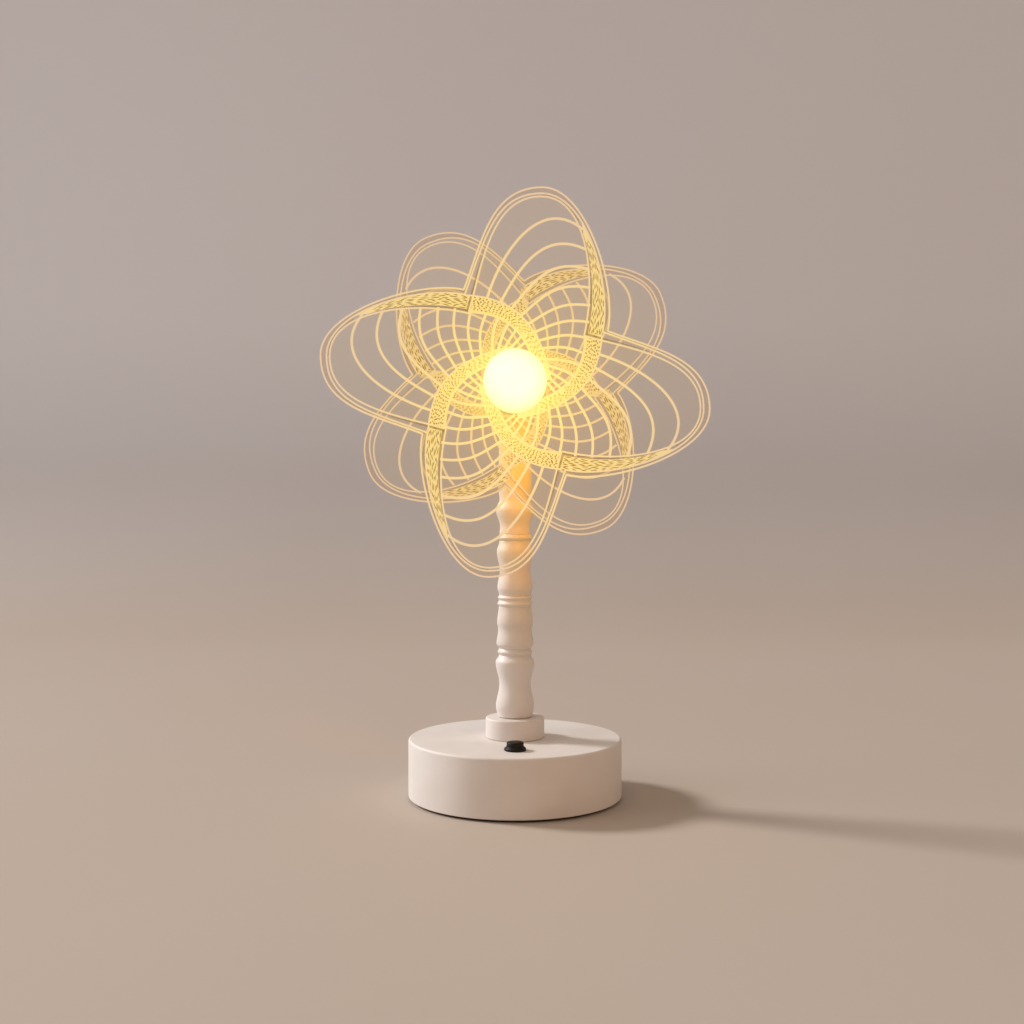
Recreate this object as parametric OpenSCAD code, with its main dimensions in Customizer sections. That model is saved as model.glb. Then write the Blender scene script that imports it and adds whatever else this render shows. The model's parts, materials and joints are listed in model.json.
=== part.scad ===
// Flower table lamp: a weighted round base, a turned stem, and a tilting head that carries a glowing
// globe and two clear engraved petal sheets. Millimetres, +Z up, the flower faces -Y.
// The origin is on the table under the middle of the base.

/* [Base] */
// Outer diameter of the round base
base_d = 125; // [116:1:150]
// Height of the base from the table to its flat top
base_h = 35; // [34:0.5:45]
// Thickness of the base's side wall
base_wall = 2.5; // [2:0.1:3.5]
// Thickness of the base's flat top
base_top_t = 3; // [2.5:0.1:4]
// Rounding of the base's top edge
base_edge_r = 1.5; // [0.5:0.1:2]
// Thickness of the cover that closes the base from below
cover_t = 2.5; // [2:0.1:3]
// Thickness of the soft pad under the base
pad_t = 1.5; // [1:0.1:2]
// Distance of the pad's edge inside the base's edge
pad_inset = 2.5; // [1:0.1:5]
// Thickness of the steel weight
ballast_t = 4; // [3:0.1:4.5]
// Radius of the screw bosses in the base
boss_r = 4; // [3.5:0.1:5]
// Distance of the screw bosses from the lamp's axis
boss_ring_r = 51; // [49.5:0.5:52]
// Direction of the screw bosses from the lamp's left and right
boss_angle = 25; // [20:1:28]

/* [Battery and board] */
// Diameter of the battery cell
cell_d = 18.4; // [17:0.1:18.6]
// Length of the battery cell
cell_l = 65; // [60:0.5:66]
// Distance of the cell's axis from the lamp's axis
cell_x = 24.5; // [24:0.1:28]
// Wall and floor of the battery holder
holder_t = 1.2; // [1:0.1:1.5]
// Width of the control board
board_w = 24; // [23:0.5:25]
// Depth of the control board
board_l = 27; // [26:0.5:28]
// Thickness of the control board
board_t = 1.6; // [1:0.1:2]
// Height of the board above the weight
board_lift = 4; // [3:0.1:5]
// Width of the charging socket's metal shell
port_w = 8.94; // [8.5:0.01:9.2]
// Height of the charging socket's metal shell
port_h = 3.26; // [3.1:0.01:3.6]
// Length of the charging socket
port_l = 7.4; // [7:0.1:8]

/* [Switch] */
// Distance of the switch in front of the lamp's axis
switch_reach = 40; // [34:0.5:46]
// Diameter of the push button
button_d = 9.6; // [8:0.1:10.2]
// Height of the button above the base's top
button_rise = 5; // [4.6:0.1:7]
// Distance that the button is pressed down
button_travel = 1.8; // [1:0.1:2]
// Height of the flared bezel above the base's top
bezel_rise = 2.2; // [1.8:0.1:2.4]
// Width of the bezel's rim outside its barrel
bezel_rim = 0.7; // [0.5:0.1:2]
// Wall of the bezel's barrel
barrel_wall = 0.65; // [0.5:0.05:1.2]
// Length of the bezel's barrel below the base's top
barrel_l = 10; // [9.5:0.1:11]
// Diameter of the return spring's wire
spring_wire_d = 0.6; // [0.4:0.05:0.7]
// Outer diameter of the return spring
spring_d = 5.2; // [4.6:0.1:6]
// Number of turns of the return spring
spring_turns = 6; // [4:1:7]

/* [Stem] */
// Diameter of the collar on the base
collar_d = 34.5; // [30:0.5:40]
// Height of the collar
collar_h = 12; // [8:0.5:16]
// Rounding of the collar's edges
collar_edge_r = 1; // [0.4:0.1:1.5]
// Height of the lower column
lower_column_h = 36.4; // [30:0.1:44]
// Height of the single bead above the lower column
lower_bead_h = 3.8; // [3:0.1:6]
// Height of the middle column
middle_column_h = 24.6; // [20:0.1:30]
// Height of the pair of beads
bead_pair_h = 6.8; // [5:0.1:9]
// Height of the upper column
upper_column_h = 31.7; // [26:0.1:38]
// Height of the ring at the neck
neck_ring_h = 4.1; // [3:0.1:6]
// Height of the top column
top_column_h = 68.6; // [60:0.1:80]
// Diameter of the threaded tube inside the stem
rod_d = 10; // [9:0.1:11]
// Bore of the threaded tube
rod_bore_d = 7; // [5:0.1:7.6]

/* [Tilting joint] */
// Height of the fork's round foot
fork_foot_h = 7; // [6.5:0.1:9]
// Height of the tilt axis above the fork's foot
pivot_rise = 11; // [10:0.1:13]
// Width of the tongue between the fork's ears
tongue_w = 8; // [7:0.1:8.4]
// Thickness of one fork ear
ear_t = 2.5; // [2:0.1:2.6]
// Rounding of the ears and of the tongue round the tilt axis
ear_r = 6.2; // [6:0.1:6.6]
// Thickness of one friction washer
washer_t = 0.5; // [0.3:0.05:0.8]
// Diameter of the tilt screw
tilt_screw_d = 4; // [3.5:0.1:4.2]

/* [Head] */
// Distance from the tilt axis to the hub's back
hub_back = 11; // [10.5:0.1:14]
// Outer radius of the hub's tube
hub_r = 16.5; // [16.3:0.1:18]
// Wall of the hub's tube
hub_wall = 1.2; // [1:0.1:1.4]
// Width of the seat on which the petals are clamped
seat_w = 1.2; // [1:0.1:4]
// Gap between the two petal sheets
sheet_gap = 6; // [4:0.1:8]
// Thickness of one petal sheet
sheet_t = 2; // [1.5:0.1:3]
// Thickness of the clamp ring
clamp_t = 1.5; // [1:0.1:2]
// Diameter of the globe
globe_d = 35.5; // [35:0.5:40]
// Wall of the globe
globe_t = 1.5; // [1:0.1:2]
// Thickness of the light board
led_board_t = 1.6; // [1:0.1:2]

/* [Petals] */
// Distance of the front petals' tips from the flower's centre
front_reach = 112; // [95:0.5:125]
// Distance of the front petals' inner corners from the flower's centre
front_notch = 60.5; // [54:0.5:66]
// Distance of the rear petals' tips from the flower's centre
rear_reach = 98.5; // [84:0.5:110]
// Distance of the rear petals' inner corners from the flower's centre
rear_notch = 59.5; // [52:0.5:62]
// Direction of the first front petal, counted from the lamp's right
front_turn = 82; // [0:1:90]
// Direction of the first rear petal, counted from the lamp's right
rear_turn = 32; // [0:1:90]
// Distance of the engraved rim line from the petal's edge
rim_inset = 3; // [2:0.1:5]
// Depth of the engraved lines
groove_depth = 0.4; // [0.2:0.05:0.8]
// Width of the engraved contour lines
contour_w = 0.8; // [0.5:0.05:1.2]
// Width of the engraved arcs
arc_w = 1.3; // [0.6:0.05:1.8]
// Number of long arcs engraved across one petal
arc_count = 8; // [4:1:9]
// Number of short arcs engraved between the globe and the petal's band
short_arc_count = 5; // [3:1:6]

/* [Hidden] */
$fn = 64;

ivory = [0.93, 0.89, 0.84];
black = [0.08, 0.07, 0.06];
steel = [0.72, 0.73, 0.75];
clear_gold = [1, 0.86, 0.55, 0.5];
brass = [0.85, 0.68, 0.36];

// Gap round fixed pieces that go into each other
fit_clear = 0.1;
// Gap between a sliding or turning piece and its bore
run_clear = 0.05;
// Gap round pieces that must pass freely
pass_clear = 0.5;
// Length by which a cutter passes the face that it cuts
over = 0.5;
// The same through a curved wall
wall_bite = 2;

base_r = base_d / 2;
inner_r = base_r - base_wall;
ceiling = base_h - base_top_t;
cover_top = pad_t + cover_t;
ballast_top = cover_top + ballast_t;
rod_r = rod_d / 2;
rod_hole_r = rod_r + fit_clear;

// Gap between the weight and the base's wall
ballast_gap = 3.5;

// Cover screws, countersunk from below
screw_r = 1.4;
screw_head_r = 2.8;
screw_head_h = 1.5;
screw_l = 12;
screw_tip_gap = 1;
screw_mark = [[0, 0], [screw_head_r, 0], [screw_r, screw_head_h], [screw_r, screw_l], [0, screw_l]];
boss_spots = [for (side = [-1, 1], a = [-boss_angle, boss_angle])
    [side * boss_ring_r * cos(a), boss_ring_r * sin(a)]];

// Board on four posts at the back, with its socket in the wall
board_z = ballast_top + board_lift;
board_top = board_z + board_t;
board_wall_gap = 2.5;
board_back = inner_r - board_wall_gap;
board_front = board_back - board_l;
post_r = 3;
post_edge = 3;
post_hole_r = 1.05;
board_screw_r = 1;
board_screw_head_r = 2;
board_screw_head_h = 1.4;
board_screw_l = 6;
port_z = board_top + port_h / 2;
port_set_back = 1.5;
port_out = base_r - port_set_back;
port_shell_t = 0.3;
port_floor_t = 1;
port_tongue = [6.6, 0.7, 0.6];
post_spots = [for (side = [-1, 1], y = [board_front + post_edge, board_back - 2 * post_edge])
    [side * (board_w / 2 - post_edge), y]];
// Parts on the board: left edge, distance from the front edge, width, depth, height
board_parts = [[-3, 9, 6, 5, 1.5], [4, 10, 5, 5, 3], [-8.5, 9, 3, 6, 1]];

// Battery lies front to back on the lamp's left
cell_r = cell_d / 2;
contact_t = 0.4;
contact_bump = 1.1;
contact_bump_r = 3;
contact_w = 9;
holder_in_l = cell_l + 2 * (contact_bump + contact_t);
holder_in_w = cell_d + 2 * fit_clear;
holder_floor = ballast_top + holder_t;
holder_side_h = cell_r - 1;
holder_end_h = cell_d - 2.8;
cell_z = holder_floor + cell_r;

// Switch, measured down from the base's top
button_r = button_d / 2;
barrel_bore_r = button_r + run_clear;
barrel_r = barrel_bore_r + barrel_wall;
bezel_r = barrel_r + bezel_rim;
bezel_edge_h = 0.6;
bezel_lip = 0.4;
button_float = 2.2;
button_depth = barrel_l - button_travel - button_float;
switch_nut_h = 2.5;
switch_nut_wall = 2.5;
switch_nut_r = barrel_r + switch_nut_wall;
switch_body_r = barrel_r - fit_clear;
switch_body_h = 8;
switch_floor_t = 2;
chamber_r = spring_d / 2 + pass_clear;
body_bottom = -barrel_l - switch_body_h;
spring_seat = body_bottom + switch_floor_t;
lug_w = 2;
lug_t = 0.6;
lug_h = 3.5;
lug_x = 2.5;
lug_bottom = base_h + body_bottom - lug_h;

// Turned pieces: share of the piece's height, radius there
lower_column_turning = [[0, 9.6], [0.03, 10.5], [0.17, 11.2], [0.53, 9.2], [0.885, 11.4], [1, 9.4]];
lower_bead_turning = [[0, 9.4], [0.5, 10.2], [1, 9.4]];
middle_column_turning = [[0, 9.4], [0.11, 10.9], [0.45, 9.9], [0.63, 10.5], [1, 9.6]];
bead_pair_turning = [[0, 9.6], [0.25, 10.3], [0.56, 9.4], [0.78, 10.1], [1, 9.3]];
upper_column_turning = [[0, 9.3], [0.13, 10.3], [0.46, 9], [0.8, 10.7], [1, 8.6]];
neck_ring_turning = [[0, 8.6], [0.45, 10.4], [1, 9]];
top_column_turning = [[0, 9], [0.06, 8.8], [0.21, 11.2], [0.29, 9.1], [0.42, 10], [0.72, 9.4], [1, 9.4]];
turning_steps = 6;
collar_top = base_h + collar_h;
lower_bead_z = collar_top + lower_column_h;
middle_column_z = lower_bead_z + lower_bead_h;
bead_pair_z = middle_column_z + middle_column_h;
upper_column_z = bead_pair_z + bead_pair_h;
neck_ring_z = upper_column_z + upper_column_h;
top_column_z = neck_ring_z + neck_ring_h;
stem_top = top_column_z + top_column_h;
rod_washer_t = 1.5;
rod_washer_r = 9;
rod_nut_h = 5.5;
rod_nut_r = 8;
rod_tail = 2;
rod_bottom = ceiling - rod_washer_t - rod_nut_h - rod_tail;
rod_socket_floor = 1;
rod_socket = fork_foot_h - rod_socket_floor;
rod_top = stem_top + rod_socket - fit_clear;

// Fork, tongue and tilt screw
fork_foot_r = top_column_turning[len(top_column_turning) - 1][1];
fork_floor = stem_top + fork_foot_h;
pivot_z = fork_floor + pivot_rise;
ear_in = tongue_w / 2 + washer_t + 2 * run_clear;
ear_out = ear_in + ear_t;
tilt_r = tilt_screw_d / 2;
tilt_hole_r = tilt_r + run_clear;
tilt_head_r = 3.5;
tilt_head_h = 2.6;
tilt_drive_r = 1.5;
tilt_drive_depth = 1.4;
tilt_nut_r = 4;
tilt_nut_h = 3.2;
tilt_tail = 0.8;
washer_r = 5;
lead_d = 2.2;
lead_hole_r = lead_d / 2 + 2 * fit_clear;
channel_wall = 0.75;
channel_drop = tilt_hole_r + lead_hole_r + channel_wall;
// Pad on the hub's back that meets the fork's foot when the head faces straight ahead
stop_w = 6;
stop_h = 4;
stop_drop = 1.2;

// Hub and what it holds, measured forward from the tilt axis
hub_floor_t = 2.5;
hub_bore_r = hub_r - hub_wall;
hub_step_w = 3;
hub_step_r = hub_bore_r - hub_step_w;
seat_t = 2;
seat_r = hub_r + seat_w;
seat_set_back = 2;
seat_back = hub_back + seat_set_back;
rear_a = seat_back + seat_t;
spacer_a = rear_a + sheet_t;
front_a = spacer_a + sheet_gap;
clamp_a = front_a + sheet_t;
hub_front = clamp_a + clamp_t;
led_set_back = 6;
led_a = hub_back + led_set_back;
led_front = led_a + led_board_t;
led_board_r = hub_bore_r - 2 * fit_clear;
chip_size = [3.5, 2.8, 0.8];
chip_ring_r = 8.5;
chip_count = 8;
globe_r = globe_d / 2;
neck_r = hub_bore_r - fit_clear;
neck_bore_r = neck_r - globe_t;
neck_back = led_front + fit_clear;
globe_cut = 0.3;
globe_meet = hub_front + globe_cut;
globe_a = globe_meet + sqrt(globe_r * globe_r - neck_r * neck_r);
sheet_hole_r = hub_r + fit_clear;

// Small tools for curves
function unit(v) = v / norm(v);
function blend(a, b, t) = a + (b - a) * t;
function polar(r, a) = [r * cos(a), r * sin(a)];
function turn2(p, a) = [p.x * cos(a) - p.y * sin(a), p.x * sin(a) + p.y * cos(a)];
function cubic(c, t) = pow(1 - t, 3) * c[0] + 3 * pow(1 - t, 2) * t * c[1]
    + 3 * (1 - t) * t * t * c[2] + pow(t, 3) * c[3];

// The two halves of one contour of a petal that leans to its right, drawn for the tip direction petal_lean.
// tip is the tip's distance, notch and notch_turn place the inner corners, and start, end, pull and
// shoulder give the curve's handles their directions and lengths.
petal_count = 4;
petal_step = 360 / petal_count;
petal_lean = 82;
curve_steps = 12;
short_steps = 6;
function flank_left(tip, notch, notch_turn, start, pull, shoulder) =
    let (a = polar(notch, notch_turn + petal_step), b = polar(tip, petal_lean))
    [a, a + polar(pull, start), b - [shoulder, 0], b];
function flank_right(tip, notch, notch_turn, end, pull, shoulder) =
    let (a = polar(tip, petal_lean), b = polar(notch, notch_turn))
    [a, a + [shoulder, 0], b + polar(pull, end), b];

// Handle lengths are shares of the petal's reach
notch_lean = 29;
function edge_left(reach, notch) = flank_left(reach, notch, notch_lean, 69, reach * 0.268, reach * 0.264);
function edge_right(reach, notch) = flank_right(reach, notch, notch_lean, 76, reach * 0.213, reach * 0.23);

// How far inside the edge the engraved rim line and inner contour run, at the tip and at the inner corners
rim_tip_in = 1.35 * rim_inset;
rim_corner_in = 1.1 * rim_inset;
inner_tip_in = 1.95 * rim_inset;
inner_corner = 0.78;
function rim_left(reach, notch) =
    flank_left(reach - rim_tip_in, notch - rim_corner_in, notch_lean + 1, 70, reach * 0.312, reach * 0.237);
function rim_right(reach, notch) =
    flank_right(reach - rim_tip_in, notch - rim_corner_in, notch_lean + 1, 77, reach * 0.22, reach * 0.237);
function inner_left(reach, notch) =
    flank_left(reach - inner_tip_in, inner_corner * notch, notch_lean + 5, 74, reach * 0.261, reach * 0.255);
function inner_right(reach, notch) =
    flank_right(reach - inner_tip_in, inner_corner * notch, notch_lean + 5, 77, reach * 0.28, reach * 0.24);

// Outer edge of the lace band where it sweeps from a petal's flank in to the globe
function band_edge(reach) =
    let (a = reach * [0.422, 0.57], b = reach * [0.228, -0.11])
    [a, a + polar(reach * 0.284, -84), b - polar(reach * 0.29, -152), b];

// The band's stretches, as shares of the curves that it follows, and its width along the sweep
flank_stretch = [0.34, 1];
sweep_stretch = [0.415, 1.07];
sweep_width = [0.09, 0.06];
function stretch(ends, i) = blend(ends[0], ends[1], i / curve_steps);
function sweep_inner(reach, i) =
    let (c = band_edge(reach),
        t = stretch(sweep_stretch, i),
        ahead = unit(cubic(c, t + 0.01) - cubic(c, t)))
    cubic(c, t) + [ahead.y, -ahead.x] * reach * stretch(sweep_width, i);

// A curve from a to b that sets out in the direction start and arrives in the direction end
function arch(a, b, start, end, bulge) =
    let (pull = bulge * norm(b - a))
    [a, a + polar(pull, start), b - polar(pull, end), b];

// Long arc number i runs from the neighbour's band to the petal's own band
function long_arc(reach, i) =
    let (u = i / (arc_count - 1))
    arch(turn2(cubic(band_edge(reach), 0.548 + 0.752 * u - 0.232 * u * u), petal_step),
        reach * [0.339 + 0.152 * u * (1 - u), 0.775 - 0.743 * u + 0.118 * u * u],
        73 - 77 * u + 10 * u * u, -40 + 110 * u - 93 * u * u, 0.45);

// Short arc number i runs from the globe's seat to the petal's own band
function short_arc(reach, i) =
    let (v = i / (short_arc_count - 1),
        b = reach * [0.324 - 0.095 * v - 0.02 * v * v, 0.085 - 0.24 * v + 0.094 * v * v],
        start_r = seat_r + arc_w,
        lead = (norm(b) - start_r) * (1.6 + 0.86 * v))
    arch(polar(start_r, atan2(b.y, b.x) + lead), b, -4 - 48 * v, -34 - 21 * v, 0.36);

// A line of a given width along points, as an outline
function across(p, i) =
    let (d = unit(p[min(i + 1, len(p) - 1)] - p[max(i - 1, 0)]))
    [-d.y, d.x];
function stroke(p, w) = concat([for (i = [0 : len(p) - 1]) p[i] + across(p, i) * w / 2],
    [for (i = [len(p) - 1 : -1 : 0]) p[i] - across(p, i) * w / 2]);

// Tube along points: a frame is carried from point to point, and rings are joined by triangles
function along(p, i) = unit(p[min(i + 1, len(p) - 1)] - p[max(i - 1, 0)]);
function carried(n, t) = unit(n - t * (n * t));
function frames(p, n, i = 0) = i == len(p) ? [] :
    let (t = along(p, i), m = carried(n, t))
    concat([[m, cross(t, m)]], frames(p, m, i + 1));
function catmull(a, b, c, d, t) = 0.5 * (2 * b + (c - a) * t + (2 * a - 5 * b + 4 * c - d) * t * t
    + (3 * b - a - 3 * c + d) * t * t * t);
lead_steps = 3;
// Rounds a route between its straight first and last stretches
function rounded(p) = concat([p[0]],
    [for (i = [1 : len(p) - 3], j = [0 : lead_steps - 1])
        catmull(p[i - 1], p[i], p[i + 1], p[i + 2], j / lead_steps)],
    [p[len(p) - 2], p[len(p) - 1]]);
module tube(p, d, sides, first_side) {
    f = frames(p, first_side);
    rings = [for (i = [0 : len(p) - 1], k = [0 : sides - 1])
        p[i] + d / 2 * (f[i][0] * cos(360 * k / sides) + f[i][1] * sin(360 * k / sides))];
    last = len(p) - 1;
    walls = [for (i = [0 : last - 1], k = [0 : sides - 1], h = [0, 1])
        let (a = i * sides + k, b = i * sides + (k + 1) % sides)
        h == 0 ? [a, a + sides, b] : [b, a + sides, b + sides]];
    near = [for (k = [1 : sides - 2]) [0, k, k + 1]];
    far = [for (k = [1 : sides - 2]) [last * sides, last * sides + k + 1, last * sides + k]];
    polyhedron(points = rings, faces = concat(walls, near, far));
}

// Places a shape drawn in the flower's plane, with its depth towards the viewer, on the tilt axis
module facing_front() {
    translate([0, 0, pivot_z])
        rotate([90, 0, 0])
            children();
}

// Ring between two radii and two heights
module ring(r_out, r_in, z_low, z_high) {
    translate([0, 0, z_low])
        difference() {
            cylinder(h = z_high - z_low, r = r_out);
            translate([0, 0, -over])
                cylinder(h = z_high - z_low + 2 * over, r = r_in);
        }
}

module base_shell() {
    color(ivory)
        difference() {
            union() {
                rotate_extrude()
                    difference() {
                        union() {
                            translate([0, pad_t])
                                square([base_r, base_h - base_edge_r - pad_t]);
                            translate([0, pad_t])
                                square([base_r - base_edge_r, base_h - pad_t]);
                            translate([base_r - base_edge_r, base_h - base_edge_r])
                                circle(r = base_edge_r);
                        }
                        translate([0, pad_t - over])
                            square([inner_r, ceiling - pad_t + over]);
                    }
                for (p = boss_spots)
                    translate([p.x, p.y, cover_top])
                        cylinder(h = ceiling - cover_top + over, r = boss_r);
            }
            translate([0, 0, ceiling - over])
                cylinder(h = base_top_t + 2 * over, r = rod_hole_r);
            translate([0, -switch_reach, ceiling - over])
                cylinder(h = base_top_t + 2 * over, r = barrel_r + fit_clear);
            for (p = boss_spots)
                translate([p.x, p.y, cover_top - over])
                    cylinder(h = screw_l - cover_t + screw_tip_gap + over, r = screw_r + run_clear);
            translate([0, 0, port_z])
                port_opening();
        }
}

// Round-ended slot in the back wall for the charging socket
module port_opening() {
    slot_r = port_h / 2 + 2 * fit_clear;
    slot_x = port_w / 2 - port_h / 2;
    translate([0, inner_r - wall_bite, 0])
        rotate([-90, 0, 0])
            linear_extrude(base_wall + 2 * wall_bite)
                union() {
                    for (side = [-1, 1])
                        translate([side * slot_x, 0])
                            circle(r = slot_r);
                    square([2 * slot_x, 2 * slot_r], center = true);
                }
}

module base_cover() {
    color(ivory)
        difference() {
            union() {
                translate([0, 0, pad_t])
                    cylinder(h = cover_t, r = inner_r - fit_clear);
                for (p = post_spots)
                    translate([p.x, p.y, pad_t])
                        cylinder(h = board_z - pad_t, r = post_r);
            }
            for (p = boss_spots)
                translate([p.x, p.y, pad_t])
                    rotate_extrude()
                        polygon([[0, -over], [screw_head_r + run_clear, -over], [screw_head_r + run_clear, 0],
                            [screw_r + run_clear, screw_head_h], [screw_r + run_clear, cover_t + over],
                            [0, cover_t + over]]);
            for (p = post_spots)
                translate([p.x, p.y, board_top - board_screw_l - screw_tip_gap])
                    cylinder(h = board_screw_l + screw_tip_gap, r = post_hole_r);
        }
}

module base_pad() {
    color([0.16, 0.14, 0.13])
        cylinder(h = pad_t, r = base_r - pad_inset);
}

module cover_screws() {
    color(steel)
        for (p = boss_spots)
            translate([p.x, p.y, pad_t])
                rotate_extrude()
                    polygon(screw_mark);
}

module ballast_disc() {
    color([0.4, 0.41, 0.43])
        difference() {
            translate([0, 0, cover_top])
                cylinder(h = ballast_t, r = inner_r - ballast_gap);
            for (p = boss_spots)
                translate([p.x, p.y, cover_top - over])
                    cylinder(h = ballast_t + 2 * over, r = boss_r + pass_clear);
            for (p = post_spots)
                translate([p.x, p.y, cover_top - over])
                    cylinder(h = ballast_t + 2 * over, r = post_r + pass_clear);
        }
}

module battery_cell() {
    color([0.25, 0.45, 0.7])
        translate([-cell_x, cell_l / 2, cell_z])
            rotate([90, 0, 0])
                cylinder(h = cell_l, r = cell_r);
}

module battery_holder() {
    out_w = holder_in_w + 2 * holder_t;
    out_l = holder_in_l + 2 * holder_t;
    color(black)
        translate([-cell_x, 0, ballast_top])
            difference() {
                union() {
                    translate([-out_w / 2, -out_l / 2, 0])
                        cube([out_w, out_l, holder_t + holder_side_h]);
                    for (side = [-1, 1])
                        translate([-out_w / 2, side * (out_l / 2 - holder_t / 2) - holder_t / 2, 0])
                            cube([out_w, holder_t, holder_t + holder_end_h]);
                }
                translate([-holder_in_w / 2, -holder_in_l / 2, holder_t])
                    cube([holder_in_w, holder_in_l, cell_d]);
            }
}

module battery_contacts() {
    color(brass)
        for (side = [-1, 1])
            translate([-cell_x, side * holder_in_l / 2, cell_z])
                rotate([side * 90, 0, 0])
                    union() {
                        translate([-contact_w / 2, -contact_w / 2, 0])
                            cube([contact_w, contact_w, contact_t]);
                        cylinder(h = contact_t + contact_bump, r = contact_bump_r);
                    }
}

module control_board() {
    color([0.1, 0.4, 0.2])
        difference() {
            union() {
                translate([-board_w / 2, board_front, board_z])
                    cube([board_w, board_l, board_t]);
                for (b = board_parts)
                    translate([b[0], board_front + b[1], board_z])
                        cube([b[2], b[3], board_t + b[4]]);
            }
            for (p = post_spots)
                translate([p.x, p.y, board_z - over])
                    cylinder(h = board_t + 2 * over, r = board_screw_r + fit_clear);
        }
}

module board_screws() {
    color(steel)
        for (p = post_spots)
            translate([p.x, p.y, board_top])
                union() {
                    cylinder(h = board_screw_head_h, r = board_screw_head_r);
                    translate([0, 0, -board_screw_l])
                        cylinder(h = board_screw_l + over, r = board_screw_r);
                }
}

module charge_port() {
    color(steel)
        translate([0, port_out, port_z])
            rotate([90, 0, 0])
                difference() {
                    port_body(port_w, port_h, port_l);
                    difference() {
                        translate([0, 0, -over])
                            port_body(port_w - 2 * port_shell_t, port_h - 2 * port_shell_t,
                                port_l - port_floor_t + over);
                        translate([-port_tongue.x / 2, -port_tongue.y / 2, port_tongue.z])
                            cube([port_tongue.x, port_tongue.y, port_l]);
                    }
                }
}

// Solid with round ends, w wide, h high and l deep
module port_body(w, h, l) {
    linear_extrude(l)
        union() {
            for (side = [-1, 1])
                translate([side * (w / 2 - h / 2), 0])
                    circle(r = h / 2);
            square([w - h, h], center = true);
        }
}

// Places a shape on the base's top at the switch
module at_switch() {
    translate([0, -switch_reach, base_h])
        children();
}

module switch_bezel() {
    color(black)
        at_switch()
            rotate_extrude()
                polygon([[barrel_bore_r, -barrel_l], [barrel_r, -barrel_l], [barrel_r, 0], [bezel_r, 0],
                    [bezel_r, bezel_edge_h], [barrel_bore_r + bezel_lip, bezel_rise],
                    [barrel_bore_r, bezel_rise]]);
}

module switch_nut() {
    color(steel)
        translate([0, -switch_reach, ceiling - switch_nut_h])
            difference() {
                cylinder(h = switch_nut_h, r = switch_nut_r, $fn = 6);
                translate([0, 0, -over])
                    cylinder(h = switch_nut_h + 2 * over, r = barrel_r + fit_clear);
            }
}

module switch_body() {
    color([0.2, 0.2, 0.22])
        at_switch()
            difference() {
                translate([0, 0, body_bottom])
                    cylinder(h = switch_body_h, r = switch_body_r);
                translate([0, 0, spring_seat])
                    cylinder(h = switch_body_h, r = chamber_r);
            }
}

module switch_terminals() {
    color(brass)
        at_switch()
            for (side = [-1, 1])
                translate([side * lug_x - lug_w / 2, -lug_t / 2, body_bottom - lug_h])
                    cube([lug_w, lug_t, lug_h]);
}

module switch_button() {
    dome_h = 0.8;
    color(black)
        at_switch()
            rotate_extrude()
                polygon([[0, -button_depth], [button_r, -button_depth], [button_r, button_rise - dome_h],
                    [button_r - dome_h / 2, button_rise - dome_h / 4], [button_r - 2 * dome_h, button_rise],
                    [0, button_rise]]);
}

// Return spring: one tube wound round the switch's axis, with its smallest gap between turns printed
spring_rings = 12;
spring_mean_r = (spring_d - spring_wire_d) / 2;
spring_low = spring_seat + spring_wire_d * 0.6;
spring_high = -button_depth - spring_wire_d * 0.6;
spring_route = [for (i = [0 : spring_turns * spring_rings])
    let (t = i / (spring_turns * spring_rings), a = 360 * spring_turns * t)
    [spring_mean_r * cos(a), spring_mean_r * sin(a), blend(spring_low, spring_high, t)]];
spring_gap = min([for (i = [0 : spring_rings], j = [i + spring_rings / 2 : 2 * spring_rings])
    norm(spring_route[i] - spring_route[j])]) - spring_wire_d;
echo(str("spring_gap_mm = ", spring_gap));
module switch_spring() {
    color(steel)
        at_switch()
            tube(spring_route, spring_wire_d, 6, [1, 0, 0]);
}

module stem_collar() {
    collar_r = collar_d / 2;
    color(ivory)
        translate([0, 0, base_h])
            rotate_extrude()
                difference() {
                    union() {
                        translate([0, collar_edge_r])
                            square([collar_r, collar_h - 2 * collar_edge_r]);
                        square([collar_r - collar_edge_r, collar_h]);
                        for (y = [collar_edge_r, collar_h - collar_edge_r])
                            translate([collar_r - collar_edge_r, y])
                                circle(r = collar_edge_r);
                    }
                    translate([0, -over])
                        square([rod_hole_r, collar_h + 2 * over]);
                }
}

// Turned piece with soft swells between its listed radii, bored for the tube
module turned(turning, z, h) {
    edge = [for (i = [0 : len(turning) - 2], j = [0 : turning_steps - 1])
        let (t = j / turning_steps, s = (1 - cos(180 * t)) / 2)
        [blend(turning[i][1], turning[i + 1][1], s), h * blend(turning[i][0], turning[i + 1][0], t)]];
    top = turning[len(turning) - 1];
    color(ivory)
        translate([0, 0, z])
            rotate_extrude()
                polygon(concat([[rod_hole_r, 0]], edge, [[top[1], h], [rod_hole_r, h]]));
}
module lower_column() {
    turned(lower_column_turning, collar_top, lower_column_h);
}
module lower_bead() {
    turned(lower_bead_turning, lower_bead_z, lower_bead_h);
}
module middle_column() {
    turned(middle_column_turning, middle_column_z, middle_column_h);
}
module bead_pair() {
    turned(bead_pair_turning, bead_pair_z, bead_pair_h);
}
module upper_column() {
    turned(upper_column_turning, upper_column_z, upper_column_h);
}
module neck_ring() {
    turned(neck_ring_turning, neck_ring_z, neck_ring_h);
}
module top_column() {
    turned(top_column_turning, top_column_z, top_column_h);
}

module stem_rod() {
    color(steel)
        ring(rod_r, rod_bore_d / 2, rod_bottom, rod_top);
}

module rod_washer() {
    color(steel)
        ring(rod_washer_r, rod_hole_r, ceiling - rod_washer_t, ceiling);
}

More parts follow.
